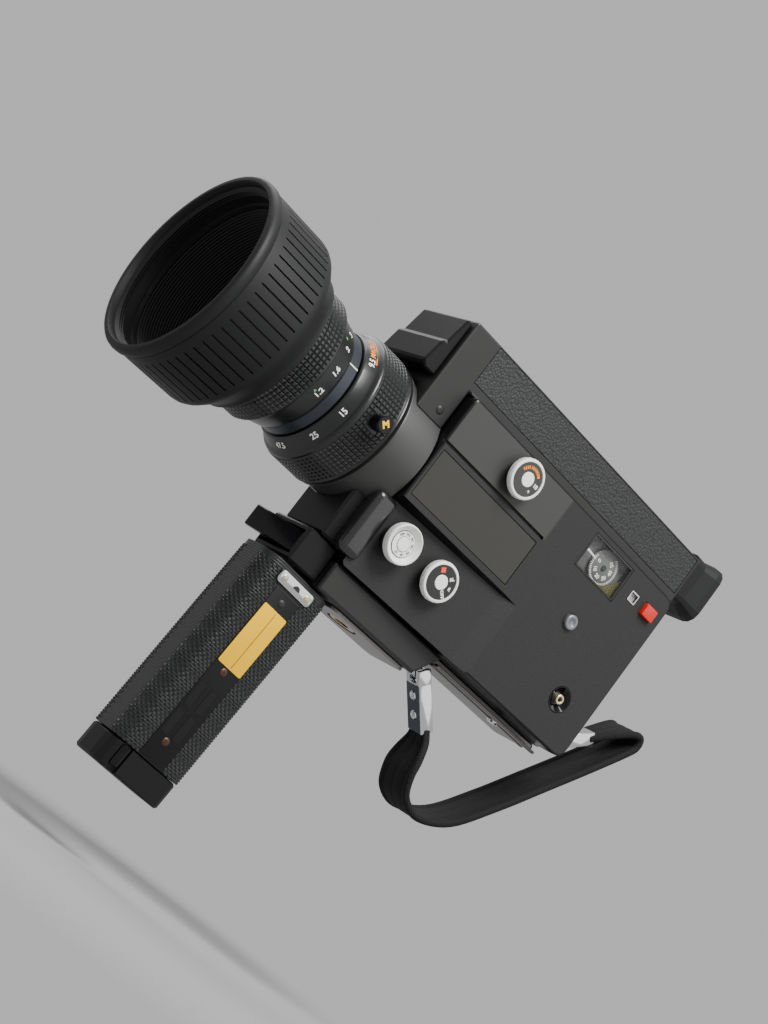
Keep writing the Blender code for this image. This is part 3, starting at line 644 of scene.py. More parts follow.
class StageSettings(bpy.types.PropertyGroup):
    lens_mm: FloatProperty(name="Focal length", description="The view camera's lens, mm", default=71.6)
    position: FloatVectorProperty(
        name="Viewpoint",
        description="Where the view camera stands, in the lens frame, mm",
        size=3,
        default=(-403.5, -627.0, -144.5),
    )
    azimuth: FloatProperty(name="Azimuth", description="Degrees round from the left side", default=-33.14)
    elevation: FloatProperty(name="Elevation", description="Degrees above the horizon", default=-9.76)
    roll: FloatProperty(name="Roll", description="Degrees that the view leans", default=37.42)


# ---------------------------------------------------------------- stage


def view_axes(settings):
    """The view camera's right, up and forward directions."""
    a, e = math.radians(settings.azimuth), math.radians(settings.elevation)
    forward = -Vector((math.sin(a) * math.cos(e), -math.cos(a) * math.cos(e), math.sin(e)))
    level = forward.cross(AXES["Z"]).normalized()
    upright = level.cross(forward)
    c, s = math.cos(math.radians(settings.roll)), math.sin(math.radians(settings.roll))
    return level * c + upright * s, upright * c - level * s, forward


class CAMERA_OT_stage(bpy.types.Operator):
    """Adds the view camera, the lights, the surroundings and the floor"""

    bl_idname = "cine.stage"
    bl_label = "Stage"

    def execute(self, context):
        settings = context.scene.cine_stage
        right, up, forward = view_axes(settings)
        self.add_view(settings, right, up, forward)
        self.add_lights()
        self.add_surroundings()
        return {"FINISHED"}

    def add_view(self, settings, right, up, forward):
        deselect()
        bpy.ops.object.camera_add()
        camera = bpy.context.object
        camera.name = "view"
        axes = Matrix((right, up, -forward)).transposed().to_4x4()
        camera.matrix_world = Matrix.Translation(LENS @ Vector(settings.position)) @ axes
        camera.data.lens = settings.lens_mm
        camera.data.sensor_width = 36.0
        camera.data.clip_start = 0.01
        bpy.context.scene.camera = camera

    def add_lights(self):
        """Soft boxes round the object, each by its offset, its size in metres and its power in watts."""
        middle = (CAD_BOX[0] + CAD_BOX[1]) / 2
        boxes = (
            ("key", (-0.10, -0.72, 0.90), 0.55, 24.0),
            ("sheen", (0.62, -0.95, 0.42), 0.9, 2.6),
            ("fill", (0.75, -0.55, -0.45), 0.6, 2.0),
            ("rim", (-0.20, 0.60, 0.85), 0.8, 7.0),
        )
        for name, offset, size, power in boxes:
            offset = Vector(offset)
            deselect()
            bpy.ops.object.light_add(type="AREA", location=middle + offset)
            lamp = bpy.context.object
            lamp.name = name
            lamp.data.size = size
            lamp.data.energy = power
            lamp.rotation_euler = offset.to_track_quat("Z", "Y").to_euler()

    def add_surroundings(self):
        world = bpy.data.worlds.new("surroundings")
        world.use_nodes = True
        background = world.node_tree.nodes["Background"]
        background.inputs["Color"].default_value = (WORLD_TONE, WORLD_TONE, WORLD_TONE, 1)
        background.inputs["Strength"].default_value = WORLD_GLOW
        bpy.context.scene.world = world
        deselect()
        place = (0, 0, CAD_BOX[0].z - FLOOR_DROP)
        bpy.ops.mesh.primitive_circle_add(vertices=96, radius=FLOOR_RADIUS, fill_type="NGON", location=place)
        floor = take("floor")
        floor.data.materials.append(floor_finish(WORLD_TONE))


# ---------------------------------------------------------------- parts that keep their shape


class CAMERA_OT_finishes(bpy.types.Operator):
    """Gives each part its finish"""

    bl_idname = "cine.finishes"
    bl_label = "Finishes"

    def execute(self, context):
        slots = {entry["node"]: entry["material_slot"] for entry in frame["record"]["subparts"]}
        own = {
            "index_barrel": "index_black",
            # The front-facing pieces take the darker black: painted shade.
            "front_nameplate": "deep_black",
            "trigger_block": "deep_black",
            "lower_front_housing": "deep_black",
            "battery_cap": "deep_black",
            "counter_window": "pane",
            "lamp_window": "pane",
            "door_window": "pane",
        }
        for name, node in frame["nodes"].items():
            slot = own.get(name, slots[name])
            for index in range(len(node.material_slots)):
                node.material_slots[index].material = finish(slot)
        return {"FINISHED"}


# ---------------------------------------------------------------- lens


class CAMERA_OT_hood(bpy.types.Operator):
    """Adds the rubber hood, grooved outside and ridged inside"""

    bl_idname = "cine.hood"
    bl_label = "Rubber hood"

    def execute(self, context):
        sizes = context.scene.cine_sizes
        per_groove = 6
        steps = sizes.groove_count * per_groove
        profile = [(-120.0, 36.4), (-120.0, 37.6), (-119.7, 38.3), (-119.0, 38.8), (-118.0, 39.0)]
        profile += [(-116.4, 38.9), (-115.9, 38.6), (-115.7, 38.1), (-115.4, 38.05), (-115.1, 38.3)]
        profile += [(-111.5, 38.3), (-90.5, 37.9), (-88.6, 37.6), (-87.2, 36.9), (-86.2, 36.0)]
        profile += [(-82.0, 32.4), (-80.4, 31.2), (-79.2, 30.7), (-77.9, 30.6), (-77.9, 26.3)]
        profile += [(-81.5, 26.3), (-82.0, 27.2)]
        for x in stations(-83.0, -108.0, 25):
            radius = 26.6 + (-83.0 - x) * 0.27
            profile += [(x, radius + 0.35), (x - 0.5, radius)]
        profile += [(-110.0, 33.6), (-110.3, 34.6), (-113.4, 34.8)]
        for x in (-113.8, -114.8, -115.8):
            profile += [(x, 34.8), (x - 0.3, 34.5), (x - 0.6, 34.9)]
        profile += [(-117.0, 35.2), (-117.3, 35.7), (-119.4, 36.0)]
        hood = lathe("rubber_hood", "X", (0, 0), profile, steps, closed=True)
        step = 2 * math.pi / steps

        def in_groove(face):
            centre = face.calc_center_median()
            outside = math.hypot(centre.y, centre.z) > 37.5
            turn = round(math.atan2(centre.z, centre.y) / step - 0.5)
            return outside and -111.4 < centre.x < -90.6 and turn % per_groove == 0

        with editing(hood):
            pick(hood, in_groove)
            bpy.ops.mesh.inset(use_individual=False, thickness=0.1, depth=-sizes.groove_depth)
        settle(hood, "rubber", "focus_group")
        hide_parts("lens_hood")
        return {"FINISHED"}


def in_band(face, front, back):
    """Whether a face is on the outside of a ring, between two places along the lens."""
    centre = face.calc_center_median()
    return front < centre.x < back and math.hypot(centre.y, centre.z) > 27.3


class CAMERA_OT_focus(bpy.types.Operator):
    """Adds the focus ring, its knurl and its distance scale"""

    bl_idname = "cine.focus"
    bl_label = "Focus ring"

    def execute(self, context):
        sizes = context.scene.cine_sizes
        profile = [(-77.5, 25.2), (-77.5, 27.5), (-77.2, 27.7)]
        profile += [(x, 27.7) for x in stations(-76.8, -67.3, 5)]
        profile += [(-66.9, 27.7), (-66.6, 27.2), (-66.4, 26.6), (-66.2, 26.4), (-65.0, 26.0)]
        profile += [(-58.4, 24.24), (-57.9, 24.0), (-57.7, 23.6), (-57.8, 20.6)]
        profile += [(-68.0, 20.6), (-68.0, 25.2)]
        ring = lathe("focus_grip_ring", "X", (0, 0), profile, sizes.knurl_count, closed=True)

        knurl(ring, lambda face: in_band(face, -76.7, -67.4), 0.42, sizes.knurl_height)
        settle(ring, "lens_black", "focus_group")
        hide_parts("focus_ring")
        self.add_scale()
        return {"FINISHED"}

    def add_scale(self):
        """Distances in metres, and the green triangles that go with two of them."""
        for text, angle in (("1.2", -14), ("1.6", 8), ("2", 31), ("3", 48), ("5", 64), ("10", 80)):
            name = "distance_" + text.replace(".", "_")
            place = on_ring(FOCUS_SCALE[0], angle, FOCUS_SCALE[1], FOCUS_SLOPE)
            lettering(name, text, 3.2, place, "ink_white", "focus_group", heavy=0.022)
        triangle = [(-0.6, -0.5), (0.6, -0.5), (0.0, 0.9)]
        for i, angle in enumerate((-15.0, 38)):
            place = on_ring(-63.4, angle, 25.62, FOCUS_SLOPE)
            mark(f"distance_mark_{i}", triangle, place, "ink_green", "focus_group")


class CAMERA_OT_zoom(bpy.types.Operator):
    """Adds the zoom ring with its knurl and scale, and the macro knob"""

    bl_idname = "cine.zoom"
    bl_label = "Zoom ring"

    def execute(self, context):
        sizes = context.scene.cine_sizes
        profile = [(-52.2, 21.0), (-52.2, 24.1), (-51.9, 24.45), (-51.4, 24.75)]
        profile += [(-47.2, 26.22), (-46.7, 26.9), (-46.2, 27.7), (-45.6, 28.1)]
        profile += [(-45.0, 28.2), (-44.7, 28.1)]
        profile += [(x, 28.15) for x in stations(-44.4, -31.6, 7)]
        profile += [(-31.3, 28.3), (-31.0, 28.6), (-30.6, 28.7), (-30.4, 28.4), (-30.4, 21.0)]
        ring = lathe("zoom_grip_ring", "X", (0, 0), profile, sizes.knurl_count, closed=True)

        def has_pad(face):
            centre = face.calc_center_median()
            x, z = MACRO_KNOB
            by_knob = math.hypot(centre.x - x, centre.z - z) < 4.2 and centre.y < 0
            return in_band(face, -44.3, -31.7) and not by_knob

        knurl(ring, has_pad, 0.42, sizes.knurl_height)
        settle(ring, "lens_black", "zoom_group")
        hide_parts("zoom_ring")
        self.add_scale()
        self.add_knob()
        return {"FINISHED"}

    def on_scale(self, angle):
        return on_ring(ZOOM_SCALE[0], angle, ZOOM_SCALE[1], ZOOM_SLOPE)

    def add_scale(self):
        for text, angle in (("9.5", 39), ("15", -12), ("25", -42), ("47.5", -80)):
            name = "zoom_" + text.replace(".", "_")
            place = self.on_scale(angle)
            lettering(name, text, 3.1, place, "ink_white", "zoom_group", heavy=0.022)
        lettering("macro_range", "MACRO", 2.7, self.on_scale(56), "ink_orange", "zoom_group", heavy=0.03)
        curve = [(-6.4 + 12.6 * i / 16, -1.75) for i in range(17)]
        curve += [(6.2 - 12.6 * i / 16, -1.4) for i in range(17)]
        mark("macro_line", curve, self.on_scale(53), "ink_orange", "zoom_group")

    def add_knob(self):
        profile = [(-24.6, 0), (-24.6, 1.8), (-28.9, 1.8), (-28.9, 3.2), (-29.2, 3.5), (-32.7, 3.5)]
        profile += [(-33.2, 3.35), (-33.5, 3.0), (-33.5, 2.6), (-33.4, 2.5), (-33.4, 0)]
        knob = lathe("macro_release_knob", "Y", MACRO_KNOB, profile, 48)
        settle(knob, "gloss_black", "macro_release")
        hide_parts("macro_knob")
        place = on_side(*MACRO_KNOB, -33.4, 48)
        lettering("macro_letter", "M", 3.6, place, "ink_yellow", "macro_release", heavy=0.05)


class CAMERA_OT_barrels(bpy.types.Operator):
    """Adds the index barrel and the base barrel"""

    bl_idname = "cine.barrels"
    bl_label = "Lens barrels"

    def execute(self, context):
        profile = [(-67.0, 18.6), (-67.0, 20.2), (-57.3, 20.2), (-57.3, 23.2), (-57.0, 23.5)]
        profile += [(-53.0, 23.5), (-52.6, 23.2), (-52.6, 20.6), (-30.0, 20.6), (-30.0, 24.0)]
        profile += [(-29.2, 24.0), (-29.2, 18.6)]
        barrel = lathe("index_ring", "X", (0, 0), profile, 120, closed=True)
        settle(barrel, "index_black")
        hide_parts("index_barrel")
        mark("index_line", bar(0.45, 4.2), on_ring(-55.0, 25, 23.52), "ink_white")
        profile = [(-28.8, 19.0), (-28.8, 27.6), (-28.6, 28.0), (-28.2, 28.1), (-27.9, 27.9)]
        profile += [(-27.8, 27.4), (-27.4, 27.1), (-26.8, 27.2), (-10.7, 27.2), (-10.7, 14.0)]
        profile += [(-13.0, 14.0), (-13.0, 19.0)]
        base = lathe("base_barrel", "X", (0, 0), profile, 144, closed=True)
        settle(base, "barrel_paint")
        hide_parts("lens_barrel")
        return {"FINISHED"}


# ---------------------------------------------------------------- controls


def cut_teeth(dial, centre, radius, low, high, teeth, depth):
    """Raises every other face of the side, between two places along Y, into a tooth."""
    x, z = centre
    step = math.pi / teeth

    def is_tooth(face):
        middle = face.calc_center_median()
        turn = round(math.atan2(middle.z - z, middle.x - x) / step - 0.5)
        return math.hypot(middle.x - x, middle.z - z) > radius and low < middle.y < high and turn % 2 == 0

    with editing(dial):
        pick(dial, is_tooth)
        bpy.ops.mesh.inset(use_individual=True, thickness=0.06, depth=depth)


def toothed_dial(name, centre, neck, face, radius, teeth, body, rim=1.15, sink=0.35):
    """A dial with a ribbed side and a sunk face inside a plain rim, on a narrower neck coloured black as
    painted shadow under the dial.
    """
    back = face + 2.9
    collar = [(back - 0.4, 0), (back - 0.4, radius - 1.3), (neck, radius - 1.3), (neck, 0)]
    # The neck is black: painted shadow under the toothed side.
    settle(lathe(name + "_neck", "Y", centre, collar, 48), "ink_black", body)
    profile = [(back - 0.2, 0), (back - 0.2, radius - 1.6), (back, radius - 1.5), (back, radius - 0.5)]
    profile += [(back - 0.25, radius - 0.25), (face + 0.7, radius - 0.25), (face + 0.2, radius - 0.3)]
    profile += [(face, radius - 0.6), (face, radius - rim), (face + sink, radius - rim - 0.15)]
    profile += [(face + sink, 0)]
    dial = lathe(name, "Y", centre, profile, teeth * 2)
    cut_teeth(dial, centre, radius - 0.5, face + 0.7, back - 0.25, teeth, 0.25)
    return settle(dial, "dial_white", body)


def dial_disc(name, centre, face, inner, outer, slot, body):
    """A flat coloured ring on a dial's face."""
    profile = [(face, inner), (face - 0.06, inner), (face - 0.06, outer), (face, outer)]
    return settle(lathe(name, "Y", centre, profile, 64, closed=True), slot, body)


def radial(centre, angle, reach, face, turn=0.0):
    """A place for letters that read outwards along a dial's radius."""
    x, z = centre
    a = math.radians(angle)
    return on_side(x + reach * math.cos(a), z + reach * math.sin(a), face, angle + turn)


class CAMERA_OT_dials(bpy.types.Operator):
    """Adds the three dials of the left side and their index marks"""

    bl_idname = "cine.dials"
    bl_label = "Dials"

    def execute(self, context):
        teeth = context.scene.cine_sizes.dial_teeth
        self.add_speed_dial(teeth)
        self.add_run_dial(teeth)
        self.add_film_dial(teeth)
        for i, ((x, z), face) in enumerate(((SPEED_DIAL, -28.0), (RUN_DIAL, -24.5))):
            mark(f"dial_index_{i}", bar(1.1, 0.5), on_side(x + 9.1, z, face), "ink_white")
        return {"FINISHED"}

    def add_hub(self, name, centre, face, radius, body):
        profile = [(face + 0.3, 0), (face + 0.3, radius), (face - 0.15, radius), (face - 0.3, radius - 0.2)]
        profile += [(face - 0.35, 0)]
        settle(lathe(name, "Y", centre, profile, 48), "dial_white", body)

    def add_speed_dial(self, teeth):
        body = "speed_control"
        dial = toothed_dial("frame_rate_dial", SPEED_DIAL, -28.4, -33.4, 8.0, teeth, body)
        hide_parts("speed_dial")
        dial_disc("frame_rate_face", SPEED_DIAL, -33.1, 2.7, 6.6, "textured_plain", body)
        self.add_hub("frame_rate_hub", SPEED_DIAL, -33.1, 2.85, body)
        for text, angle in (("18", 0), ("9", -49)):
            place = radial(SPEED_DIAL, angle, 4.6, -33.2)
            lettering(f"frame_rate_{text}", text, 2.2, place, "ink_white", body, heavy=0.03)
        for i in range(10):
            angle = 59 + 10.2 * i + (4 if i > 5 else 0)
            place = radial(SPEED_DIAL, angle, 4.7, -33.2, 90)
            mark(f"frame_rate_slow_{i}", bar(0.5, 1.25), place, "ink_orange", body)
        dot = [(0.6 * math.cos(k * math.pi / 8), 0.6 * math.sin(k * math.pi / 8)) for k in range(16)]
        mark("frame_rate_dot", dot, radial(SPEED_DIAL, 47, 4.7, -33.2), "ink_orange", body)

    def add_run_dial(self, teeth):
        body = "run_control"
        dial = toothed_dial("mode_dial", RUN_DIAL, -25.2, -29.9, 8.0, teeth, body)
        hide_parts("run_dial")
        dial_disc("mode_face", RUN_DIAL, -29.6, 2.7, 6.6, "ink_black", body)
        self.add_hub("mode_hub", RUN_DIAL, -29.6, 2.85, body)
        for text, angle in (("OFF", -43), ("R", 0), ("RL", 47)):
            place = radial(RUN_DIAL, angle, 4.7, -29.7)
            lettering(f"mode_{text.lower()}", text, 1.9, place, "ink_white", body, heavy=0.03)
        mark("mode_lamp", bar(2.0, 2.0), radial(RUN_DIAL, 122, 4.7, -29.7), "ink_red", body)

    def add_film_dial(self, teeth):
        body = "film_speed_control"
        profile = [(-26.9, 0), (-26.9, 7.0), (-27.1, 7.6), (-29.6, 7.6), (-30.2, 7.6), (-30.4, 7.35)]
        profile += [(-30.35, 7.1), (-29.6, 6.4), (-28.9, 5.6), (-28.7, 5.3), (-28.7, 0)]
        dial = lathe("film_speed_cup", "Y", FILM_DIAL, profile, teeth * 2)
        # The neck under the cup is black: painted shadow.
        collar = [(-27.1, 0), (-27.1, 6.6), (-23.9, 6.6), (-23.9, 0)]
        settle(lathe("film_speed_neck", "Y", FILM_DIAL, collar, 48), "ink_black", body)
        cut_teeth(dial, FILM_DIAL, 7.4, -29.6, -27.1, teeth, 0.2)
        settle(dial, "dial_white", body)
        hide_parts("film_speed_dial")
        dial_disc("film_speed_edge", FILM_DIAL, -28.75, 4.85, 5.15, "screw_brown", body)
        dial_disc("film_speed_ring", FILM_DIAL, -28.95, 0.5, 4.85, "dial_white", body)
        # The groove is a flat black ring: painted shade.
        dial_disc("film_speed_groove", FILM_DIAL, -28.97, 2.7, 2.95, "ink_black", body)
        self.add_hub("film_speed_hub", FILM_DIAL, -29.0, 2.7, body)
        for i, text in enumerate(("25", "40", "64", "100", "160", "250", "400")):
            place = radial(FILM_DIAL, 40 * i - 100, 3.95, -29.04, 90)
            lettering(f"film_speed_{text}", text, 1.35, place, "ink_black", body)


class CAMERA_OT_side_controls(bpy.types.Operator):
    """Adds the film counter, the battery lamp, the two buttons and the remote socket"""

    bl_idname = "cine.side_controls"
    bl_label = "Counter, lamp, buttons and socket"

    def execute(self, context):
        self.add_counter()
        self.add_lamp()
        self.add_buttons()
        self.add_socket()
        return {"FINISHED"}

    def add_counter(self):
        """The counter's disc with its feet and ticks, a fixed pointer and the dark frame round them."""
        body = "frame_counter"
        x, z = COUNTER
        profile = [(-24.4, 0), (-24.4, 7.3), (-24.5, 7.4), (-25.1, 7.4), (-25.2, 7.3), (-25.2, 0)]
        disc = settle(lathe("counter_dial", "Y", COUNTER, profile, 96), "silver_grey", body)
        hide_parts("counter_disc")
        for i in range(6):
            place = radial(COUNTER, 165 + 50 * i, 4.1, -25.24, 90)
            lettering(f"counter_{10 * i}", str(10 * i), 2.3, place, "ink_white", body, heavy=0.03)
        for i in range(41):
            place = radial(COUNTER, 160 + 6.5 * i, 6.5, -25.24)
            mark(f"counter_tick_{i}", bar(0.85, 0.34), place, "ink_white", body)
        hub = [(-25.2, 0), (-25.2, 1.2), (-25.5, 1.2), (-25.6, 1.0), (-25.6, 0)]
        settle(lathe("counter_hub", "Y", COUNTER, hub, 24), "ink_black", body)
        pointer = [(-12.5, -0.45), (-6.4, -0.3), (-6.4, 0.3), (-12.5, 0.45)]
        mark("counter_pointer", pointer, on_side(x, z, -25.9, -4), "ink_white")
        tray = plate("counter_tray", (70.9, 96.5), (-23.9, -23.5), (15.0, 30.6))
        settle(tray, "silver_grey")
        corner = [(96.2, 15.3), (96.2, 24.5), (93.5, 20.5), (89.5, 17.5), (85.5, 15.3)]
        settle(prism("counter_corner", corner, "Y", -26.2, -26.0), "olive_film")
        self.add_frame("counter_frame", (71.0, 96.4), (15.1, 30.5), -28.02, 0.75, "ink_black", 0.5)

    def add_frame(self, name, x, z, face, width, slot, corner):
        """A thin raised frame: a plate whose face is inset and pushed through."""
        frame_piece = plate(name, x, (face, face + 0.5), z, corner, 0.08)
        with editing(frame_piece):
            pick(frame_piece, lambda f: abs(f.normal.y) > 0.99 and f.calc_area() > 3)
            bpy.ops.mesh.inset(thickness=width)
            bpy.ops.mesh.bridge_edge_loops()
        settle(frame_piece, slot)

    def add_lamp(self):
        self.add_frame("lamp_frame", (101.9, 106.7), (20.3, 24.7), -28.2, 0.4, "chrome", 0.5)
        settle(plate("lamp_back", (102.3, 106.3), (-26.8, -26.4), (20.7, 24.3)), "lamp_pink")

    def add_buttons(self):
        red = plate("test_key", (111.2, 117.8), (-30.0, -23.6), (19.8, 25.0), 0.5, 0.35)
        settle(red, "button_red", "test_button")
        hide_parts("red_button")
        profile = [(-23.6, 0), (-23.6, 3.1), (-28.9, 3.1), (-29.2, 2.95), (-29.4, 2.6), (-29.4, 1.9)]
        profile += [(-29.2, 1.5), (-28.9, 0.9), (-28.8, 0)]
        button = lathe("counter_reset", "Y", ROUND_BUTTON, profile, 48)
        settle(button, "button_grey", "reset_button")
        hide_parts("round_button")
        profile = [(-28.0, 3.35), (-28.12, 3.4), (-28.12, 3.75), (-28.0, 3.8), (-27.5, 3.8), (-27.5, 3.35)]
        settle(lathe("reset_rim", "Y", ROUND_BUTTON, profile, 48, closed=True), "satin_black")

    def add_socket(self):
        """A brass socket in the middle of a dished black surround."""
        profile = [(-22.0, 0), (-22.0, 5.3), (-28.0, 5.3), (-28.15, 5.25), (-28.15, 5.0), (-28.0, 4.85)]
        profile += [(-26.6, 3.6), (-25.9, 2.9), (-25.6, 2.6), (-25.6, 0)]
        dish = lathe("socket_dish", "Y", JACK, profile, 64)
        settle(dish, "gloss_black")
        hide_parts("remote_jack")
        profile = [(-25.6, 1.05), (-28.1, 1.05), (-28.3, 1.25), (-28.3, 1.7), (-28.1, 1.95), (-26.0, 2.1)]
        profile += [(-25.6, 2.1)]
        settle(lathe("socket_ring", "Y", JACK, profile, 48, closed=True), "ivory_brass")


# ---------------------------------------------------------------- screws


def screw(name, centre, face, radius, slot, body="camera", placed=LENS, slots=2, turn=20.0):
    """A domed screw head that looks left, with one slot or a cross drawn on it as flat black marks: painted
    shade for the cut.
    """
    x, z = centre
    profile = [(face + 0.5, 0), (face + 0.5, radius), (face - 0.1, radius), (face - 0.35, radius * 0.8)]
    profile += [(face - 0.45, radius * 0.45), (face - 0.45, 0)]
    settle(lathe(name, "Y", centre, profile, 32), slot, body, placed)
    for i in range(slots):
        place = on_side(x, z, face - 0.47, turn + 90 * i)
        # Each slot is a flat black mark: painted shade.
        mark(f"{name}_slot_{i}", bar(radius * 1.2, radius * 0.2), place, "ink_black", body, placed, 0.04)


# ---------------------------------------------------------------- grip


def corner_arc(x, y, radius, start, steps=12):
    for k in range(steps + 1):
        angle = math.radians(start + 90 * k / steps)
        yield Vector((x + radius * math.cos(angle), y + radius * math.sin(angle)))


def spaced(path, count):
    """Points at even distances along a path of straight steps, both ends kept."""
    lengths = [0.0]
    for a, b in zip(path, path[1:]):
        lengths.append(lengths[-1] + (b - a).length)
    points, step = [], 0
    for k in range(count + 1):
        target = lengths[-1] * k / count
        while step < len(path) - 2 and lengths[step + 1] < target:
            step += 1
        share = (target - lengths[step]) / (lengths[step + 1] - lengths[step])
        points.append(path[step].lerp(path[step + 1], share))
    return points


class CAMERA_OT_grip(bpy.types.Operator):
    """Adds the studded grip with its strip, label, clip and screws"""

    bl_idname = "cine.grip"
    bl_label = "Grip"

    def execute(self, context):
        self.add_shell(context.scene.cine_sizes.stud_height)
        self.add_strip()
        self.add_label()
        self.add_clip()
        self.add_cap()
        return {"FINISHED"}

    def outline(self, cells):
        """The grip's outline from the strip's rear edge round to its front edge, in even steps."""
        path = [Vector((6.5, -12.5))]
        path += corner_arc(11.75, -7.5, 5.0, -90)
        path += corner_arc(11.75, 7.5, 5.0, 0)
        path += corner_arc(-8.75, 4.5, 8.0, 90)
        path += corner_arc(-8.75, -4.5, 8.0, 180)
        path += [Vector((-6.3, -12.5))]
        return [tuple(point) for point in spaced(path, cells)]

    def add_shell(self, stud_height):
        """Small pyramids stand on every other cell, and the flat front face keeps its fine ribs."""
        cells, rows = 84, 74
        outline = self.outline(cells)
        shell = prism("studded_grip", outline, "Z", GRIP_JOINT, 0.0, layers=rows)
        middles = {}
        for i, (a, b) in enumerate(zip(outline, outline[1:])):
            middles[(round((a[0] + b[0]) / 2, 1), round((a[1] + b[1]) / 2, 1))] = i
        height = -GRIP_JOINT / rows

        def has_stud(face):
            centre = face.calc_center_median()
            column = middles.get((round(centre.x, 1), round(centre.y, 1)))
            row = round((centre.z - GRIP_JOINT) / height - 0.5)
            if column is None or centre.x < -16.7 or centre.z > -2.5:
                return False
            return (column + row) % 2 == 0

        with editing(shell):
            pick(shell, lambda f: f.normal.z < -0.9)
            bpy.ops.mesh.inset(thickness=2.0)
            bpy.ops.mesh.extrude_region_move(TRANSFORM_OT_translate={"value": (0, 0, -GRIP_JOINT - 3.0)})
            pick(shell, has_stud)
            bpy.ops.mesh.inset(use_individual=True, thickness=0.3, depth=stud_height)
        settle(shell, "grip_black", "camera", GRIP, 25)
        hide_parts("grip_shell")

    def add_strip(self):
        strip = plate("grip_strip", (-6.3, 6.5), (-12.8, -12.2), (-83.8, -8.2), 0.0, 0.12)
        # The strip and its outlines take the darker black: painted shade.
        settle(strip, "deep_black", "camera", GRIP)
        for row, z in enumerate((-55.5, -67.8)):
            for column, x in enumerate((-3.5, 2.5)):
                name = f"strip_outline_{row}_{column}"
                rim = plate(name, (x - 2.0, x + 2.0), (-12.92, -12.7), (z - 5.3, z + 5.3), 0.7)
                with editing(rim):
                    pick(rim, lambda f: f.normal.y < -0.99)
                    bpy.ops.mesh.inset(thickness=0.28)
                    bpy.ops.mesh.inset(thickness=0.02, depth=-0.1)
                settle(rim, "deep_black", "camera", GRIP)
        screw("grip_screw_upper", (-0.5, -43.7), -12.8, 1.55, "screw_brown", placed=GRIP)
        screw("grip_screw_lower", (-0.5, -75.1), -12.8, 1.55, "screw_brown", placed=GRIP, turn=50)
        screw("grip_screw_top", (-0.2, -11.9), -12.75, 1.5, "satin_black", placed=GRIP, slots=1)

    def add_label(self):
        """A plain label with a line down it."""
        label = plate("grip_sticker", (-6.0, 6.2), (-13.1, -12.8), (-41.6, -15.2), 0.7, 0.06)
        settle(label, "label_yellow", "camera", GRIP)
        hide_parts("grip_label")
        place = on_side(0.6, -28.4, -13.12, 90)
        mark("label_line", bar(25.0, 0.22), place, "ink_black", "camera", GRIP)

    def add_clip(self):
        clip = plate("strap_clip", (-9.2, 8.7), (-13.7, -12.7), (-6.9, -2.0), 1.5, 0.3)
        settle(clip, "chrome", "camera", GRIP)
        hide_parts("grip_clip")
        for i, x in enumerate((-6.5, 6.2)):
            profile = [(-13.5, 0), (-13.5, 1.35), (-13.8, 1.3), (-14.0, 0.9), (-14.05, 0)]
            rivet = lathe(f"clip_rivet_{i}", "Y", (x, -4.4), profile, 32)
            settle(rivet, "ivory_brass", "camera", GRIP)
        moon = [tuple(point) for point in corner_arc(0, 0, 1.7, 0, 6)]
        moon += [tuple(point) for point in corner_arc(0, 0, 1.7, 90, 6)][1:]
        # The half-moon slot is a flat black mark: painted shade.
        mark("clip_slot", moon, on_side(0.2, -5.0, -13.72), "ink_black", "camera", GRIP, 0.05)

    def add_cap(self):
        """The rod that latches the battery cover."""
        profile = [(GRIP_END + 2.4, 0), (GRIP_END + 2.4, 1.6), (GRIP_END + 3.0, 1.9)]
        profile += [(GRIP_JOINT - 1.2, 1.9), (GRIP_JOINT - 0.8, 1.4), (GRIP_JOINT - 0.8, 0)]
        latch = lathe("cover_latch", "Z", (-10.3, -11.3), profile, 40)
        settle(latch, "gloss_black", "lid_latch", GRIP)
        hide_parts("cap_latch")


# ---------------------------------------------------------------- wrist strap


STRAP_MIDDLE = -12.0
STRAP_POINTS = (
    (70.6, -68.8), (73.0, -73.0), (73.6, -79.5), (74.5, -86.5), (79.0, -94.0), (89.0, -96.6), (103.5, -90.2),
    (118.0, -73.8), (132.0, -55.5), (145.6, -37.5), (156.4, -22.6), (158.8, -18.0), (157.8, -14.6),
    (154.2, -15.0), (146.5, -21.4), (139.5, -28.0),
)
FRONT_LUG = (54.8, -54.0)
REAR_LUG = (128.0, -36.5)


def curve_through(points, parts):
    """A smooth curve through the points, as (x, z) steps."""
    ends = [points[0], *points, points[-1]]
    curve = []
    for a, b, c, d in zip(ends, ends[1:], ends[2:], ends[3:]):
        a, b, c, d = (Vector(p) for p in (a, b, c, d))
        for k in range(parts):
            t = k / parts
            bend = (2 * a - 5 * b + 4 * c - d) * t**2 + (3 * b - a - 3 * c + d) * t**3
            curve.append(0.5 * (2 * b + (c - a) * t + bend))
    return curve + [Vector(points[-1])]


def strap_section():
    """Half-thicknesses across the strap: a rolled edge, a stitched channel and a soft middle."""
    shape = [(-10.0, 0.0), (-9.8, 0.8), (-9.2, 1.35), (-8.4, 1.55), (-7.6, 1.4), (-7.0, 0.9), (-6.6, 0.75)]
    shape += [(-6.0, 0.95), (-4.0, 1.15), (-1.2, 1.2), (-0.5, 1.05), (0.0, 0.9)]
    top = shape + [(-y, t) for y, t in reversed(shape[:-1])]
    return top + [(y, -t) for y, t in reversed(top[1:-1])]


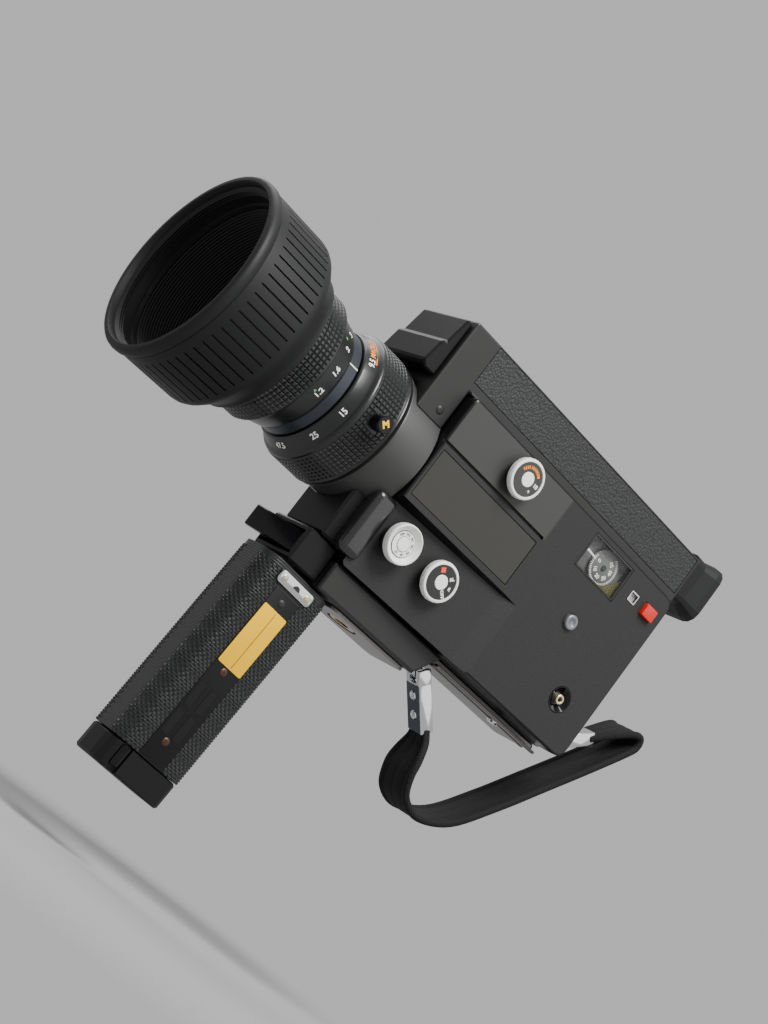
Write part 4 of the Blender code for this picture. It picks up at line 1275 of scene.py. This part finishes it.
class CAMERA_OT_strap(bpy.types.Operator):
    """Adds the woven wrist strap and the clamps that hold its ends"""

    bl_idname = "cine.strap"
    bl_label = "Wrist strap"

    def execute(self, context):
        self.add_strap()
        self.add_clamp("front_clamp_plate", "front_strap_bracket", FRONT_LUG, -43, 23.0, "front_clamp")
        self.add_clamp("rear_clamp_plate", "rear_strap_bracket", REAR_LUG, 36, 16.5, "rear_clamp")
        return {"FINISHED"}

    def add_strap(self):
        """Two lengths that meet in the middle, each swept along its half of one curve."""
        route = curve_through(STRAP_POINTS, 6)
        half = len(route) // 2
        widths = []
        for i in range(len(route)):
            from_end = min(i, len(route) - 1 - i)
            ease = min(from_end / 16, 1.0)
            widths.append(0.52 + 0.48 * ease * ease * (3 - 2 * ease))
        front = self.add_length("wrist_web_front", route[: half + 1], widths[: half + 1])
        rear = self.add_length("wrist_web_rear", route[half:], widths[half:])
        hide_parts("wrist_strap")
        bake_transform(front)
        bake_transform(rear)

    def row_point(self, point):
        return LENS @ Vector((point.x, STRAP_MIDDLE, point.y))

    def add_length(self, name, route, widths):
        headings = []
        for i in range(len(route)):
            ahead = route[min(i + 1, len(route) - 1)] - route[max(i - 1, 0)]
            headings.append(math.atan2(ahead.y, ahead.x))
        start, heading = route[0], headings[0]
        across = Vector((-math.sin(heading), 0, math.cos(heading)))
        ring = []
        for y, t in strap_section():
            ring.append(Vector((start.x, STRAP_MIDDLE + y * widths[0], start.y)) + across * t)
        strap = outline_face(name, ring)
        with editing(strap):
            bpy.ops.mesh.select_all(action="SELECT")
            for i in range(1, len(route)):
                step = route[i] - route[i - 1]
                move = {"value": (step.x, 0, step.y)}
                bpy.ops.mesh.extrude_region_move(TRANSFORM_OT_translate=move)
                turn = headings[i] - headings[i - 1]
                turn = (turn + math.pi) % (2 * math.pi) - math.pi
                centre = (route[i].x, STRAP_MIDDLE, route[i].y)
                bpy.ops.transform.rotate(value=turn, orient_axis="Y", center_override=centre)
                widen = (1, widths[i] / widths[i - 1], 1)
                bpy.ops.transform.resize(value=widen, center_override=centre)
            bpy.ops.mesh.select_all(action="SELECT")
            bpy.ops.mesh.normals_make_consistent(inside=False)
        return settle(strap, "webbing", None, angle=50)

    def add_clamp(self, name, node, lug, heading, long, body):
        """A folded chrome clamp with up to two rivets through its wide face, which carries a thin plate
        coloured dark as a painted reflection.
        """
        x, z = lug
        angle = math.radians(heading)
        along = Vector((math.cos(angle), math.sin(angle)))
        across = Vector((-along.y, along.x))

        def spot(forward, aside):
            return tuple(Vector((x, z)) + along * forward + across * aside)

        outline = [spot(3.0, 2.8), spot(long, 2.8), spot(long, -2.8), spot(3.0, -2.8)]
        clamp = prism(name, outline, "Y", STRAP_MIDDLE - 4.8, STRAP_MIDDLE + 4.8, 0.5)
        settle(clamp, "chrome", body)
        for side in (-1, 1):
            outline = [spot(-2.6, -2.8), spot(4.0, -2.8), spot(4.0, 2.8), spot(-2.6, 2.8)]
            edge = STRAP_MIDDLE + side * 3.6
            cheek = prism(f"{name}_cheek_{side + 1}", outline, "Y", edge - 1.15, edge + 1.15, 0.4)
            settle(cheek, "chrome", body)
        # A thin plate over the wide face, in dark chrome: a painted reflection.
        outline = [spot(3.4, -2.9), spot(long - 0.4, -2.9), spot(long - 0.4, -2.7), spot(3.4, -2.7)]
        cover = prism(name + "_face", outline, "Y", STRAP_MIDDLE - 4.3, STRAP_MIDDLE + 4.3)
        settle(cover, "dark_chrome", body)
        for i, forward in enumerate((8.0, 16.0)):
            if forward > long - 4:
                continue
            spot_x, spot_z = spot(forward, -2.8)
            self.add_rivet(f"{name}_rivet_{i}", Vector((spot_x, STRAP_MIDDLE, spot_z)), across, body)
        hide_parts(node)

    def add_rivet(self, name, place, across, body):
        profile = [(0.6, 0), (0.6, 1.9), (-0.1, 1.9), (-0.5, 1.6), (-0.6, 1.0), (-0.3, 0.7), (-0.3, 0)]
        rivet = lathe(name, "Z", (0, 0), profile, 32)
        up = Vector((across.x, 0, across.y))
        turn = up.to_track_quat("Z", "Y").to_matrix().to_4x4()
        settle(rivet, "chrome", body, LENS @ Matrix.Translation(place) @ turn)


# ---------------------------------------------------------------- body details


class CAMERA_OT_body_details(bpy.types.Operator):
    """Adds the trim, rails and screws of the body"""

    bl_idname = "cine.body_details"
    bl_label = "Body details"

    def execute(self, context):
        screw("front_screw", (-16.1, 21.2), -21.9, 1.6, "satin_black", turn=10)
        bead = plate("front_bead", (-16.6, -6.2), (-25.0, -17.0), (-41.5, -14.5))
        with editing(bead, "EDGE"):
            pick(bead, sharp_edge, "edges")
            bpy.ops.mesh.bevel(offset=2.8, segments=6)
        settle(bead, "bead_black")
        corner = [(-56.6, 0), (-56.6, 0.9), (-45.4, 0.9), (-45.4, 0)]
        settle(lathe("housing_corner", "Z", (-10.3, -20.2), corner, 32), "gloss_black")
        ledge = plate("finder_ledge", (-10.5, 123.5), (-23.6, -20.5), (33.3, 34.2), 0, 0.25)
        settle(ledge, "satin_black")
        for i, (y, low, high) in enumerate(((-16.5, 55.5, 119.0), (-10.0, 58.0, 118.0))):
            rail = plate(f"underside_rail_{i}", (low, high), (y - 1.3, y + 1.3), (-48.4, -47.2), 0, 0.3)
            settle(rail, "steel")
        profile = [(-47.4, 0), (-47.4, 2.6), (-48.8, 2.6), (-49.5, 1.9), (-49.7, 0)]
        settle(lathe("underside_screw", "Z", (96.0, -13.3), profile, 32), "chrome")
        return {"FINISHED"}


# ---------------------------------------------------------------- main


class CAMERA_PT_panel(bpy.types.Panel):
    """Lists the pieces in the sidebar"""

    bl_idname = "CAMERA_PT_cine"
    bl_label = "Cine camera"
    bl_space_type = "VIEW_3D"
    bl_region_type = "UI"
    bl_category = "Cine camera"

    def draw(self, context):
        for group in (context.scene.cine_sizes, context.scene.cine_stage):
            for name in group.bl_rna.properties.keys():
                if name not in ("rna_type", "name"):
                    self.layout.prop(group, name)
        for operator in PIECES:
            self.layout.operator(operator.bl_idname)


PIECES = (
    CAMERA_OT_stage,
    CAMERA_OT_finishes,
    CAMERA_OT_hood,
    CAMERA_OT_focus,
    CAMERA_OT_zoom,
    CAMERA_OT_barrels,
    CAMERA_OT_dials,
    CAMERA_OT_side_controls,
    CAMERA_OT_grip,
    CAMERA_OT_strap,
    CAMERA_OT_body_details,
)
GROUPS = (FinishSizes, StageSettings)


def register():
    for group in (*GROUPS, *PIECES, CAMERA_PT_panel):
        bpy.utils.register_class(group)
    bpy.types.Scene.cine_sizes = PointerProperty(type=FinishSizes)
    bpy.types.Scene.cine_stage = PointerProperty(type=StageSettings)


def unregister():
    del bpy.types.Scene.cine_sizes
    del bpy.types.Scene.cine_stage
    for group in reversed((*GROUPS, *PIECES, CAMERA_PT_panel)):
        bpy.utils.unregister_class(group)


def main():
    register()
    for operator in PIECES:
        category, name = operator.bl_idname.split(".")
        getattr(getattr(bpy.ops, category), name)()


if __name__ == "__main__":
    main()
